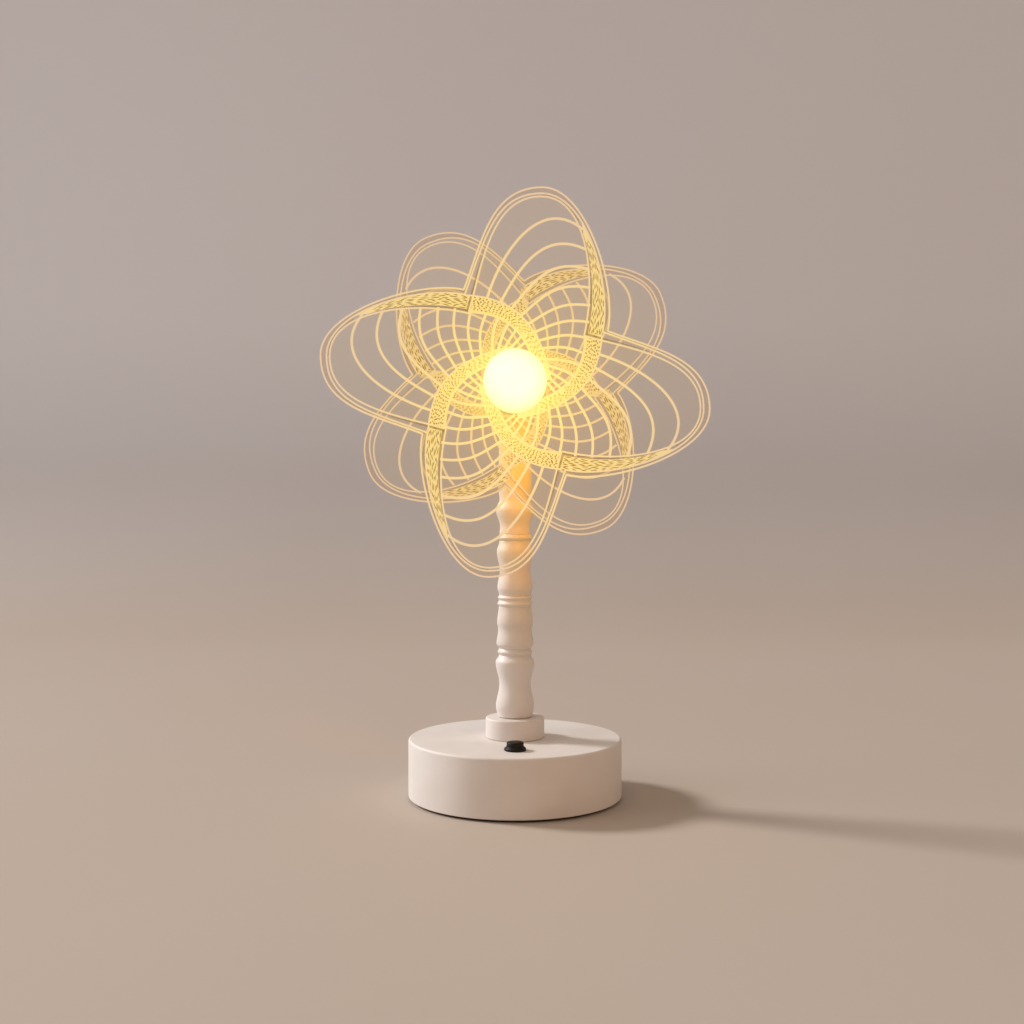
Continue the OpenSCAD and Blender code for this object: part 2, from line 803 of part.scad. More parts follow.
module rod_nut() {
    z = ceiling - rod_washer_t - rod_nut_h;
    color(steel)
        difference() {
            translate([0, 0, z])
                cylinder(h = rod_nut_h, r = rod_nut_r, $fn = 6);
            translate([0, 0, z - over])
                cylinder(h = rod_nut_h + 2 * over, r = rod_hole_r);
        }
}

module knuckle_fork() {
    color(ivory)
        difference() {
            union() {
                translate([0, 0, stem_top])
                    cylinder(h = fork_foot_h, r = fork_foot_r);
                for (side = [-1, 1])
                    translate([side * (ear_in + ear_t / 2), 0, pivot_z])
                        rotate([0, 90, 0])
                            linear_extrude(ear_t, center = true)
                                union() {
                                    circle(r = ear_r);
                                    translate([0, -ear_r])
                                        square([pivot_rise + over, 2 * ear_r]);
                                }
            }
            translate([0, 0, stem_top - over])
                cylinder(h = rod_socket + over, r = rod_hole_r);
            translate([0, 0, stem_top])
                cylinder(h = fork_foot_h + over, r = lead_hole_r);
            translate([-ear_out - over, 0, pivot_z])
                rotate([0, 90, 0])
                    cylinder(h = 2 * (ear_out + over), r = tilt_hole_r);
        }
}

module tilt_screw() {
    color(steel)
        translate([-ear_out - tilt_nut_h - tilt_tail, 0, pivot_z])
            rotate([0, 90, 0])
                difference() {
                    union() {
                        cylinder(h = 2 * ear_out + tilt_nut_h + tilt_tail, r = tilt_r);
                        translate([0, 0, 2 * ear_out + tilt_nut_h + tilt_tail])
                            cylinder(h = tilt_head_h, r = tilt_head_r);
                    }
                    translate([0, 0, 2 * ear_out + tilt_nut_h + tilt_tail + tilt_head_h - tilt_drive_depth])
                        cylinder(h = tilt_drive_depth + over, r = tilt_drive_r, $fn = 6);
                }
}

module tilt_nut() {
    color(steel)
        translate([-ear_out - tilt_nut_h, 0, pivot_z])
            rotate([0, 90, 0])
                difference() {
                    cylinder(h = tilt_nut_h, r = tilt_nut_r, $fn = 6);
                    translate([0, 0, -over])
                        cylinder(h = tilt_nut_h + 2 * over, r = tilt_hole_r);
                }
}

module friction_washers() {
    color([0.3, 0.25, 0.2])
        for (side = [-1, 1])
            translate([side * (tongue_w / 2 + run_clear + washer_t / 2), 0, pivot_z])
                rotate([0, 90, 0])
                    ring(washer_r, tilt_hole_r, -washer_t / 2, washer_t / 2);
}

module head_hub() {
    color(ivory)
        facing_front()
            difference() {
                union() {
                    translate([0, 0, hub_back])
                        cylinder(h = hub_front - hub_back, r = hub_r);
                    translate([0, 0, seat_back])
                        cylinder(h = seat_t, r = seat_r);
                    rotate([0, 90, 0])
                        linear_extrude(tongue_w, center = true)
                            union() {
                                circle(r = ear_r);
                                translate([-hub_back - over, -ear_r])
                                    square([hub_back + over, 2 * ear_r]);
                            }
                    translate([-stop_w / 2, -pivot_rise - stop_drop - stop_h, fork_foot_r + fit_clear])
                        cube([stop_w, stop_h, hub_back - fork_foot_r - fit_clear + over]);
                }
                translate([0, 0, led_a])
                    cylinder(h = hub_front, r = hub_bore_r);
                translate([0, 0, hub_back + hub_floor_t])
                    cylinder(h = hub_front, r = hub_step_r);
                translate([-tongue_w, 0, 0])
                    rotate([0, 90, 0])
                        cylinder(h = 2 * tongue_w, r = tilt_hole_r);
                translate([0, -channel_drop, -lead_hole_r])
                    cylinder(h = hub_back + hub_floor_t + lead_hole_r + over, r = lead_hole_r);
                translate([0, -channel_drop, 0])
                    rotate([90, 0, 0])
                        cylinder(h = ear_r, r = lead_hole_r);
            }
}

// Outline of a whole flower sheet: the petals' edges joined at their inner corners
module flower_outline(reach, notch) {
    polygon([for (k = [0 : petal_count - 1])
        for (half = [edge_left(reach, notch), edge_right(reach, notch)])
            for (i = [0 : curve_steps - 1])
                turn2(cubic(half, i / curve_steps), -petal_step * k)]);
}

// Lace band of one petal: a strip along its flank, and a strip that sweeps on to the globe
module lace_band(reach, notch) {
    steps = [0 : curve_steps];
    back_steps = [curve_steps : -1 : 0];
    polygon(concat([for (i = steps) cubic(rim_right(reach, notch), stretch(flank_stretch, i))],
        [for (i = back_steps) cubic(inner_right(reach, notch), stretch(flank_stretch, i))]));
    polygon(concat([for (i = steps) cubic(band_edge(reach), stretch(sweep_stretch, i))],
        [for (i = back_steps) sweep_inner(reach, i)]));
}

// Engraving of one petal: the rim line, the inner contour, the lace band and the arcs
module petal_lines(reach, notch) {
    lace_band(reach, notch);
    for (curve = [rim_left(reach, notch), rim_right(reach, notch)])
        polygon(stroke([for (i = [1 : curve_steps - 1]) cubic(curve, i / curve_steps)], contour_w));
    for (curve = [inner_left(reach, notch), inner_right(reach, notch)])
        polygon(stroke([for (i = [1 : curve_steps - 1]) cubic(curve, i / curve_steps)], contour_w));
    for (i = [0 : arc_count - 1])
        polygon(stroke([for (j = [1 : curve_steps - 2]) cubic(long_arc(reach, i), j / curve_steps)], arc_w));
    for (i = [0 : short_arc_count - 1])
        polygon(stroke([for (j = [0 : short_steps]) cubic(short_arc(reach, i), j / short_steps)], arc_w));
}

// Clear sheet with its engraving on the face towards the viewer
module petal_sheet(reach, notch) {
    difference() {
        linear_extrude(sheet_t)
            flower_outline(reach, notch);
        translate([0, 0, -over])
            cylinder(h = sheet_t + 2 * over, r = sheet_hole_r);
        for (k = [0 : petal_count - 1])
            translate([0, 0, sheet_t - groove_depth])
                rotate([0, 0, petal_step * k])
                    linear_extrude(groove_depth + over)
                        petal_lines(reach, notch);
    }
}

module rear_petals() {
    color(clear_gold)
        facing_front()
            translate([0, 0, rear_a])
                rotate([0, 0, rear_turn - (180 - petal_lean)])
                    mirror([1, 0, 0])
                        petal_sheet(rear_reach, rear_notch);
}

module front_petals() {
    color(clear_gold)
        facing_front()
            translate([0, 0, front_a])
                rotate([0, 0, front_turn - petal_lean])
                    petal_sheet(front_reach, front_notch);
}

module petal_spacer() {
    color(ivory)
        facing_front()
            ring(seat_r, sheet_hole_r, spacer_a, front_a);
}

module clamp_ring() {
    color(ivory)
        facing_front()
            ring(seat_r, sheet_hole_r, clamp_a, hub_front);
}

module led_board() {
    color([0.95, 0.95, 0.92])
        facing_front()
            translate([0, 0, led_a])
                cylinder(h = led_board_t, r = led_board_r);
}

module led_chips() {
    color([1, 0.85, 0.4])
        facing_front()
            translate([0, 0, led_front + chip_size.z / 2])
                union() {
                    cube(chip_size, center = true);
                    for (i = [0 : chip_count - 1])
                        rotate([0, 0, 360 * i / chip_count])
                            translate([chip_ring_r, 0, 0])
                                cube(chip_size, center = true);
                }
}

module globe() {
    color([1, 0.97, 0.88])
        facing_front()
            union() {
                difference() {
                    translate([0, 0, globe_a])
                        sphere(r = globe_r);
                    translate([0, 0, globe_a])
                        sphere(r = globe_r - globe_t);
                    translate([0, 0, globe_meet - globe_d])
                        cylinder(h = globe_d, r = globe_d);
                }
                ring(neck_r, neck_bore_r, neck_back, globe_meet);
            }
}

// Leads, through points chosen by hand, with heights counted from the weight's top.
// Each first and last stretch is square to what it meets.
wire_d = 1.2;
wire_sides = 8;
low = ballast_top;
pad_y = board_front + 3;
cell_pad_x = -cell_x + 5;
holder_end_y = holder_in_l / 2 + holder_t;
lug_pad_z = lug_bottom + 1;
battery_routes = [
    [[cell_pad_x, holder_end_y, low + 8], [cell_pad_x, holder_end_y + 1.5, low + 8], [-14, 39, low + 9],
        [-8, 37, low + 11], [-5, pad_y, low + 9], [-5, pad_y, board_top]],
    [[cell_pad_x, -holder_end_y, low + 8], [cell_pad_x, -holder_end_y - 1.5, low + 8], [-12, -36, low + 6],
        [-9, -24, low + 3], [-10, 0, low + 3], [-9, 22, low + 5], [-4, 29, low + 11],
        [-2.5, pad_y, low + 9.5], [-2.5, pad_y, board_top]]];
switch_routes = [for (side = [-1, 1])
    [[side * lug_x, -switch_reach + lug_t / 2, lug_pad_z], [side * lug_x, -switch_reach + 3, lug_pad_z],
        [side * lug_x + 4, -30, low + 5], [14 + side, -16, low + 4], [14 + side, 8, low + 4],
        [9 + side, 22, low + 6], [4 + side, 29, low + 11], [4 + side, pad_y, low + 9],
        [4 + side, pad_y, board_top]]];
stem_lead_top = pivot_z - ear_r - 2 * fit_clear;
stem_route = concat([[0, pad_y, board_top], [0, pad_y, low + 9], [0, 29, low + 12], [0, 12, low + 7],
    [0, 3, low + 7.5], [0, 0, low + 12]],
    [for (share = [0.25, 0.5, 0.75, 1]) [0, 0, share * stem_lead_top]]);
module battery_leads() {
    color([0.75, 0.1, 0.1])
        for (route = battery_routes)
            tube(rounded(route), wire_d, wire_sides, [0.1, 0, 1]);
}
module switch_leads() {
    color(black)
        for (route = switch_routes)
            tube(rounded(route), wire_d, wire_sides, [1, 0, 0.1]);
}
module stem_lead() {
    color([0.9, 0.9, 0.88])
        tube(rounded(stem_route), lead_d, wire_sides, [1, 0, 0]);
}

head_bend = 0.6;
head_route = [[0, -ear_r + 2 * fit_clear, 0], [0, -channel_drop - head_bend, 0],
    [0, -channel_drop, head_bend], [0, -channel_drop, hub_back], [0, -channel_drop, led_a]];
module head_lead() {
    color([0.9, 0.9, 0.88])
        facing_front()
            tube(head_route, lead_d, wire_sides, [1, 0, 0]);
}

base_shell();
base_cover();
base_pad();
cover_screws();
ballast_disc();
battery_cell();
battery_holder();
battery_contacts();
control_board();
board_screws();
charge_port();
switch_bezel();
switch_nut();
switch_body();
switch_terminals();
switch_button();
switch_spring();
stem_collar();
lower_column();
lower_bead();
middle_column();
bead_pair();
upper_column();
neck_ring();
top_column();
stem_rod();
rod_washer();
rod_nut();
knuckle_fork();
tilt_screw();
tilt_nut();
friction_washers();
head_hub();
rear_petals();
petal_spacer();
front_petals();
clamp_ring();
led_board();
led_chips();
globe();
battery_leads();
switch_leads();
stem_lead();
head_lead();
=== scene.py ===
# %% [markdown]
# # A flower table lamp
# The lamp has a heavy round base, a turned stem, and a head that tilts: a lit opal globe in front of two
# clear sheets cut as flowers, whose engraved lines catch the globe's light. The solids of the lamp are
# loaded first. They hold its sizes and its motion, and every piece that is modelled below sits where its
# solid sits.

# %% Load the lamp's solids
import json
import math
import random

import bpy
from mathutils import Matrix, Vector

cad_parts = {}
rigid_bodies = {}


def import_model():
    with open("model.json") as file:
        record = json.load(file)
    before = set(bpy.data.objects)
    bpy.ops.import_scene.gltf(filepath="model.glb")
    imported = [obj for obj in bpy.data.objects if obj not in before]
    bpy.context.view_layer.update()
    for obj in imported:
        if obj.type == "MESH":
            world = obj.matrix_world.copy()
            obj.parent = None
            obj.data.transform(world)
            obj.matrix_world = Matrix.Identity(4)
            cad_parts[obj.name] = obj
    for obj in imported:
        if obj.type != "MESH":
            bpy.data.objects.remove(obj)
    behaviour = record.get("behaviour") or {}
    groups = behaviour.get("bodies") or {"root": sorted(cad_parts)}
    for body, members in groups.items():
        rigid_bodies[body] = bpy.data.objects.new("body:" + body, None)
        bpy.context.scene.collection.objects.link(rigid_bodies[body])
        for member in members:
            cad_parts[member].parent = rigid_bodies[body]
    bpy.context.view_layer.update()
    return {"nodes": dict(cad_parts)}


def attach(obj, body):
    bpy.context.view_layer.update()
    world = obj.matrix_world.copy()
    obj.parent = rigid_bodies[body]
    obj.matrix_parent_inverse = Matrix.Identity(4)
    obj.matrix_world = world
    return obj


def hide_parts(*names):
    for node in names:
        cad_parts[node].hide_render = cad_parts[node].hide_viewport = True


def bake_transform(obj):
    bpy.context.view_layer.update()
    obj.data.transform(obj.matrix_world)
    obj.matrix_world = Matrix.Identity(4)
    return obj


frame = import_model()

MM = 0.001
nodes = frame["nodes"]

# %% [markdown]
# ## Tools for working on one piece at a time
# An operator acts on everything that is selected, so each step starts with one object selected, or with
# none before a primitive is added. A finished piece is put at the origin with its place in its mesh, rides
# on one of the lamp's bodies, takes its finish, and hides the solid that it stands for.

# %% Selecting and finishing
def only(piece):
    if bpy.context.object and bpy.context.object.mode != "OBJECT":
        bpy.ops.object.mode_set(mode="OBJECT")
    bpy.ops.object.select_all(action="DESELECT")
    piece.select_set(True)
    bpy.context.view_layer.objects.active = piece


def add(primitive, **settings):
    bpy.ops.object.select_all(action="DESELECT")
    primitive(**settings)
    return bpy.context.object


def edit(piece):
    only(piece)
    bpy.ops.object.mode_set(mode="EDIT")
    bpy.ops.mesh.select_mode(type="VERT")
    bpy.ops.mesh.select_all(action="SELECT")


def clean(piece, merge=0.01):
    edit(piece)
    bpy.ops.mesh.remove_doubles(threshold=merge * MM)
    bpy.ops.mesh.normals_make_consistent(inside=False)
    bpy.ops.object.mode_set(mode="OBJECT")


def apply_place(piece):
    only(piece)
    bpy.ops.object.transform_apply(location=True, rotation=True, scale=True)


def to_mesh(curve_piece):
    only(curve_piece)
    bpy.ops.object.convert(target="MESH")
    return bpy.context.object


def modify(piece, kind, **settings):
    only(piece)
    bpy.ops.object.modifier_add(type=kind)
    modifier = piece.modifiers[-1]
    for key, value in settings.items():
        setattr(modifier, key, value)
    bpy.ops.object.modifier_apply(modifier=modifier.name)


def smooth(piece, angle=35):
    only(piece)
    bpy.ops.object.shade_smooth_by_angle(angle=math.radians(angle))


def hand_over(piece, name, body, material, slot, *replaced):
    piece.name = piece.data.name = name
    if material:
        piece.data.materials.clear()
        piece.data.materials.append(material)
    if body:
        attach(piece, body)
    if replaced:
        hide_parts(*replaced)
    print(name, "faces:", len(piece.data.polygons), "on", body or "two bodies")
    return piece


print("tools for one piece ready")

# %% [markdown]
# ## Shader maths as plain sums
# A finish is a small tree of nodes. This class holds one socket, so that a sum of two of them adds its own
# Math node, and its node method adds any other kind: first the node's settings, then what goes into its
# sockets.

# %% A socket that can be added and multiplied
class Socket:
    def __init__(self, tree, source=None):
        self.tree = tree
        self.source = source

    def node(self, kind, settings=None, links=None, output=0):
        made = self.tree.nodes.new(kind)
        for key, value in (settings or {}).items():
            if key == "stops":
                elements = made.color_ramp.elements
                while len(elements) < len(value):
                    elements.new(0.5)
                for stop, (place, colour) in zip(elements, value):
                    stop.position = place
                    stop.color = (*colour, 1)
            else:
                setattr(made, key, value)
        for place, value in (links or {}).items():
            if isinstance(value, Socket):
                self.tree.links.new(value.source, made.inputs[place])
            else:
                made.inputs[place].default_value = value
        return Socket(self.tree, made.outputs[output])

    def maths(self, operation, a, b=0.0):
        return self.node("ShaderNodeMath", {"operation": operation}, {0: a, 1: b})

    def __add__(self, other):
        return self.maths("ADD", self, other)

    def __radd__(self, other):
        return self.maths("ADD", other, self)

    def __sub__(self, other):
        return self.maths("SUBTRACT", self, other)

    def __rsub__(self, other):
        return self.maths("SUBTRACT", other, self)

    def __mul__(self, other):
        return self.maths("MULTIPLY", self, other)

    def __rmul__(self, other):
        return self.maths("MULTIPLY", other, self)

    def __truediv__(self, other):
        return self.maths("DIVIDE", self, other)

    def __pow__(self, other):
        return self.maths("POWER", self, other)

    def held(self):
        return self.node("ShaderNodeClamp", None, {"Value": self})


print("shader maths ready")

# %% [markdown]
# Every finish starts the same way: a new material, its Principled shader, and the coordinates of the
# object, which stay with the piece when it moves. A few helpers then cover what the finishes share. One
# plugs values into the shader, and the others add noise, a colour ramp, a bump, or one of the three
# coordinates.

# %% Starting a finish and wiring its shader
def start_finish(name):
    material = bpy.data.materials.new(name)
    material.use_nodes = True
    shader = material.node_tree.nodes["Principled BSDF"]
    where = Socket(material.node_tree).node("ShaderNodeTexCoord", output="Object")
    return material, shader, where


def wire(material, shader, **inputs):
    for name, value in inputs.items():
        socket = shader.inputs[name.replace("_", " ")]
        if isinstance(value, Socket):
            material.node_tree.links.new(value.source, socket)
        else:
            socket.default_value = value


def along(where, axis):
    return where.node("ShaderNodeSeparateXYZ", None, {"Vector": where}, axis)


def noise(where, per_mm, detail=3.0):
    inputs = {"Vector": where, "Scale": per_mm / MM, "Detail": detail}
    return where.node("ShaderNodeTexNoise", None, inputs, "Fac")


def ramp(share, *stops):
    return share.node("ShaderNodeValToRGB", {"stops": stops}, {"Fac": share})


def colours(share, low, high):
    return ramp(share, (0.3, low), (0.7, high))


def bumped(where, height, depth_mm):
    inputs = {"Strength": 1.0, "Distance": depth_mm * MM, "Height": height}
    return where.node("ShaderNodeBump", None, inputs, "Normal")


NO_LIGHT = (0.0, 0.0, 0.0)
print("helpers for finishes ready")

# %% [markdown]
# ## Finishes of the solid parts
# Moulded plastic, paint, rubber and fibre differ in colour, gloss and grain, but each has the same three
# details: a faint cloud in its colour, patches that are a little glossier, and a fine grain that is felt
# more than seen.

# %% Moulded and painted finishes
CLOUD_PER_MM, CLOUD_GLOSS, GRAIN_GLOSS, GRAIN_DETAIL = 0.03, 0.12, 0.05, 2.0


def moulded(name, dark, light, gloss, grain_per_mm, grain_mm):
    material, shader, where = start_finish(name)
    cloud = noise(where, CLOUD_PER_MM)
    grain = noise(where, grain_per_mm, GRAIN_DETAIL)
    wire(material, shader, Base_Color=colours(cloud, dark, light),
         Roughness=gloss + CLOUD_GLOSS * cloud + GRAIN_GLOSS * grain, Normal=bumped(where, grain, grain_mm))
    return material


ivory_shell = moulded("ivory_shell", (0.74, 0.69, 0.65), (0.8, 0.76, 0.72), 0.46, 1.6, 0.03)
ivory_stem = moulded("ivory_stem", (0.74, 0.68, 0.64), (0.8, 0.75, 0.71), 0.4, 1.2, 0.02)
ivory_paint = moulded("ivory_paint", (0.7, 0.65, 0.6), (0.76, 0.71, 0.67), 0.36, 0.9, 0.02)
satin_black = moulded("satin_black", (0.007, 0.0045, 0.003), (0.016, 0.011, 0.008), 0.44, 2.0, 0.02)
foam_rubber = moulded("foam_rubber", (0.018, 0.015, 0.013), (0.045, 0.038, 0.033), 0.72, 2.5, 0.12)
pressed_fibre = moulded("pressed_fibre", (0.11, 0.08, 0.05), (0.22, 0.17, 0.11), 0.7, 3.0, 0.05)
red_wire = moulded("red_wire", (0.42, 0.02, 0.02), (0.56, 0.04, 0.03), 0.4, 1.5, 0.01)
black_wire = moulded("black_wire", (0.012, 0.012, 0.012), (0.03, 0.03, 0.03), 0.4, 1.5, 0.01)
white_wire = moulded("white_wire", (0.66, 0.65, 0.6), (0.76, 0.75, 0.7), 0.4, 1.5, 0.01)
cell_wrap = moulded("cell_wrap", (0.03, 0.12, 0.28), (0.05, 0.17, 0.36), 0.22, 0.6, 0.02)
light_chip = moulded("light_chip", (0.75, 0.5, 0.08), (0.85, 0.62, 0.14), 0.3, 2.0, 0.02)
light_board = moulded("light_board", (0.74, 0.74, 0.72), (0.82, 0.82, 0.8), 0.3, 1.0, 0.01)
wire(satin_black, satin_black.node_tree.nodes["Principled BSDF"], Specular_IOR_Level=0.2)
print("moulded finishes: 12")

# %% [markdown]
# The stem is ivory too, but the globe hangs in front of its top. There the ivory takes the lamp's colour:
# its front turns amber towards the head, least on the side that daylight washes out, and the last few
# centimetres shine a little. The glow is in the finish and not in a lamp, so it stays with the part in any
# other scene.

# %% Warm light on the stem
WARM_FROM, WARM_TO, SHINE_FROM, SHINE_TO = 75.0, 200.0, 165.0, 222.0
WARM_MIDDLE, WARM_ACROSS, FRONT_MIDDLE, FRONT_ACROSS = 0.72, 22.0, 0.45, 14.0
AMBER, SHINE = (0.95, 0.83, 0.38), (0.24, 0.145, 0.012)
stem_shader = ivory_stem.node_tree.nodes["Principled BSDF"]
plain_ivory = Socket(ivory_stem.node_tree, stem_shader.inputs["Base Color"].links[0].from_socket)
stem_where = plain_ivory.node("ShaderNodeTexCoord", output="Object")
stem_side, stem_depth, stem_height = (along(stem_where, axis) / MM for axis in "XYZ")
facing = (FRONT_MIDDLE - stem_depth / FRONT_ACROSS).held()
near_top = ((stem_height - SHINE_FROM) / (SHINE_TO - SHINE_FROM)).held()
washed = (WARM_MIDDLE + stem_side / WARM_ACROSS) * (1 - near_top) + near_top
warmth = (((stem_height - WARM_FROM) / (WARM_TO - WARM_FROM)).held() * washed * facing).held()
shine = near_top * facing
amber_ivory = plain_ivory.node("ShaderNodeMix", {"data_type": "RGBA", "blend_type": "MULTIPLY"},
                               {0: warmth, 6: plain_ivory, 7: (*AMBER, 1)}, 2)
wire(ivory_stem, stem_shader, Base_Color=amber_ivory, Emission_Strength=1.0,
     Emission_Color=ramp(shine, (0.0, NO_LIGHT), (1.0, SHINE)))
ivory_stem.cycles.emission_sampling = "NONE"
print("warm light on the stem from", WARM_FROM, "to", WARM_TO, "mm")


# %% [markdown]
# Metal has its detail in the gloss. Plating and stamping leave fine streaks along one direction, so the
# noise is drawn out by a Mapping node before it drives the roughness and a very shallow bump.

# %% Metal finishes
STREAK_PER_MM, STREAK_DETAIL, STREAK_GLOSS, STREAK_MM, STAIN_PER_MM = 1.5, 4.0, 0.2, 0.01, 0.12


def metal(name, dark, light, gloss, stretch):
    material, shader, where = start_finish(name)
    drawn = where.node("ShaderNodeMapping", None, {"Vector": where, "Scale": stretch})
    streak = noise(drawn, STREAK_PER_MM, STREAK_DETAIL)
    stain = noise(where, STAIN_PER_MM)
    wire(material, shader, Base_Color=colours(stain, dark, light), Metallic=1.0,
         Roughness=gloss + STREAK_GLOSS * streak, Normal=bumped(where, streak, STREAK_MM))
    return material


zinc_steel = metal("zinc_steel", (0.5, 0.51, 0.53), (0.66, 0.67, 0.69), 0.2, (1, 1, 0.06))
bright_brass = metal("bright_brass", (0.62, 0.43, 0.16), (0.76, 0.56, 0.25), 0.16, (0.08, 1, 1))
oiled_iron = metal("oiled_iron", (0.16, 0.16, 0.17), (0.27, 0.27, 0.28), 0.38, (1, 1, 1))
print("metal finishes: 3")

# %% [markdown]
# A circuit board is green lacquer over copper tracks. The tracks are a brick pattern on the board's own
# plane, seen as a slightly lighter green, with the lacquer's gloss on top.

# %% Circuit board
TRACKS_PER_M, TRACK_SHARE, TRACK_SHIFT, LACQUER_MM = 260.0, 0.03, 0.37, 0.03
circuit_board, board_shader, board_where = start_finish("circuit_board")
tracks = board_where.node("ShaderNodeTexBrick", {"offset": TRACK_SHIFT}, {
    "Vector": board_where, "Scale": TRACKS_PER_M, "Mortar Size": TRACK_SHARE, "Color1": (0, 0, 0, 1),
    "Color2": (0.2, 0.2, 0.2, 1), "Mortar": (1, 1, 1, 1)}, "Fac")
wire(circuit_board, board_shader, Base_Color=colours(tracks, (0.008, 0.07, 0.03), (0.03, 0.16, 0.07)),
     Roughness=0.24 + 0.1 * tracks, Normal=bumped(board_where, tracks, LACQUER_MM))
print("circuit board tracks drawn")

# %% [markdown]
# ## Turned pieces
# The stem is turned: each piece is a profile of radius against height, swung once round the lamp's axis. By
# hand that is one vertex, extruded from point to point of the profile, and then the Spin tool. Between the
# measured radii the profile swells and narrows along half a cosine wave, which leaves no kinks.

# %% The lathe
def lathe(profile, sides):
    piece = add(bpy.ops.mesh.primitive_plane_add, size=MM)
    edit(piece)
    bpy.ops.mesh.merge(type="CENTER")
    at = Vector((0, 0, 0))
    for number, (radius, height) in enumerate(profile + profile[:1]):
        step = Vector((radius, 0, height)) * MM - at
        if number == 0:
            bpy.ops.transform.translate(value=step)
        else:
            bpy.ops.mesh.extrude_region_move(TRANSFORM_OT_translate={"value": step})
        at = at + step
    bpy.ops.mesh.select_all(action="SELECT")
    bpy.ops.mesh.spin(steps=sides, angle=2 * math.pi, center=(0, 0, 0), axis=(0, 0, 1))
    bpy.ops.object.mode_set(mode="OBJECT")
    clean(piece)
    return piece


def arc(centre, radius, start, end, steps=6):
    turns = [math.radians(start + (end - start) * i / steps) for i in range(steps + 1)]
    return [(centre[0] + radius * math.cos(a), centre[1] + radius * math.sin(a)) for a in turns]


print("lathe ready")

# %% [markdown]
# ## The base
# The base is a round cup, open below, with a softly rounded top edge. Its wall has a slot at the back for
# the charging socket and its top has a hole for the switch. Both holes are cut with Boolean modifiers after
# the lathe.

# %% Base shell
BASE_R, BASE_H, WALL, TOP_T, PAD_T = 62.5, 35.0, 2.5, 3.0, 1.5
ROD_HOLE_R, SWITCH_Y = 5.1, -40.0
EDGE_R, FOOT_EDGE = 1.5, 0.4
base_profile = ([(BASE_R - WALL, PAD_T), (BASE_R - FOOT_EDGE, PAD_T), (BASE_R, PAD_T + FOOT_EDGE)]
                + arc((BASE_R - EDGE_R, BASE_H - EDGE_R), EDGE_R, 0, 90, steps=8)
                + [(ROD_HOLE_R, BASE_H), (ROD_HOLE_R, BASE_H - TOP_T), (BASE_R - WALL, BASE_H - TOP_T)])
base_shell = lathe(base_profile, sides=160)
print("base shell faces before its holes:", len(base_shell.data.polygons))

# %% [markdown]
# The slot's cutter is a box whose four long edges are bevelled until its ends are round. The other cutter
# is a plain cylinder. Both go right through the wall, so that no thin skin is left.

# %% Holes in the base
SLOT_W, SLOT_H, SLOT_Z, SWITCH_HOLE_R = 9.34, 3.66, 15.23, 5.6
SLOT_ROUND = SLOT_H / 2 * 0.99


def cut(piece, cutter):
    modify(piece, "BOOLEAN", object=cutter, operation="DIFFERENCE", solver="EXACT")
    bpy.data.objects.remove(cutter)


slot_cutter = add(bpy.ops.mesh.primitive_cube_add, size=1, location=(0, BASE_R * MM, SLOT_Z * MM),
                  scale=(SLOT_W * MM, 4 * WALL * MM, SLOT_H * MM))
apply_place(slot_cutter)
edit(slot_cutter)
bpy.ops.mesh.select_all(action="DESELECT")
bpy.ops.object.mode_set(mode="OBJECT")
for edge in slot_cutter.data.edges:
    a, b = (slot_cutter.data.vertices[i].co for i in edge.vertices)
    edge.select = abs(a.y - b.y) > WALL * MM
bpy.ops.object.mode_set(mode="EDIT")
bpy.ops.mesh.select_mode(type="EDGE")
bpy.ops.mesh.bevel(offset=SLOT_ROUND * MM, segments=8)
bpy.ops.object.mode_set(mode="OBJECT")
cut(base_shell, slot_cutter)
switch_cutter = add(bpy.ops.mesh.primitive_cylinder_add, vertices=48, radius=SWITCH_HOLE_R * MM,
                    depth=4 * TOP_T * MM, location=(0, SWITCH_Y * MM, BASE_H * MM))
apply_place(switch_cutter)
cut(base_shell, switch_cutter)
smooth(base_shell)
hand_over(base_shell, "base_shell_turned", "stand", ivory_shell, "white_shell", "base_shell")

# %% [markdown]
# ## Collar and columns
# The collar is a short drum with rounded edges. Above it seven turned pieces are threaded on one tube, and
# where two meet, a hair of chamfer on each draws the fine line that shows between them.

# %% Collar and columns
COLLAR_R, COLLAR_H, COLLAR_EDGE = 17.25, 12.0, 1.0
collar = lathe([(ROD_HOLE_R, BASE_H)]
               + arc((COLLAR_R - COLLAR_EDGE, BASE_H + COLLAR_EDGE), COLLAR_EDGE, -90, 0)
               + arc((COLLAR_R - COLLAR_EDGE, BASE_H + COLLAR_H - COLLAR_EDGE), COLLAR_EDGE, 0, 90)
               + [(ROD_HOLE_R, BASE_H + COLLAR_H)], sides=128)
smooth(collar)
hand_over(collar, "stem_collar_turned", "stand", ivory_stem, "white_stem", "stem_collar")

COLUMNS = [
    ("lower_column", 36.4, [(0, 9.6), (0.03, 10.5), (0.17, 11.2), (0.53, 9.2), (0.885, 11.4), (1, 9.4)]),
    ("lower_bead", 3.8, [(0, 9.4), (0.5, 10.2), (1, 9.4)]),
    ("middle_column", 24.6, [(0, 9.4), (0.11, 10.9), (0.45, 9.9), (0.63, 10.5), (1, 9.6)]),
    ("bead_pair", 6.8, [(0, 9.6), (0.25, 10.3), (0.56, 9.4), (0.78, 10.1), (1, 9.3)]),
    ("upper_column", 31.7, [(0, 9.3), (0.13, 10.3), (0.46, 9), (0.8, 10.7), (1, 9.2)]),
    ("neck_ring", 4.1, [(0, 9.2), (0.45, 10.3), (1, 9.1)]),
    ("top_column", 68.6,
     [(0, 9.1), (0.06, 8.8), (0.21, 11.2), (0.29, 9.1), (0.42, 10), (0.72, 9.4), (1, 9.4)]),
]
CHAMFER = 0.25


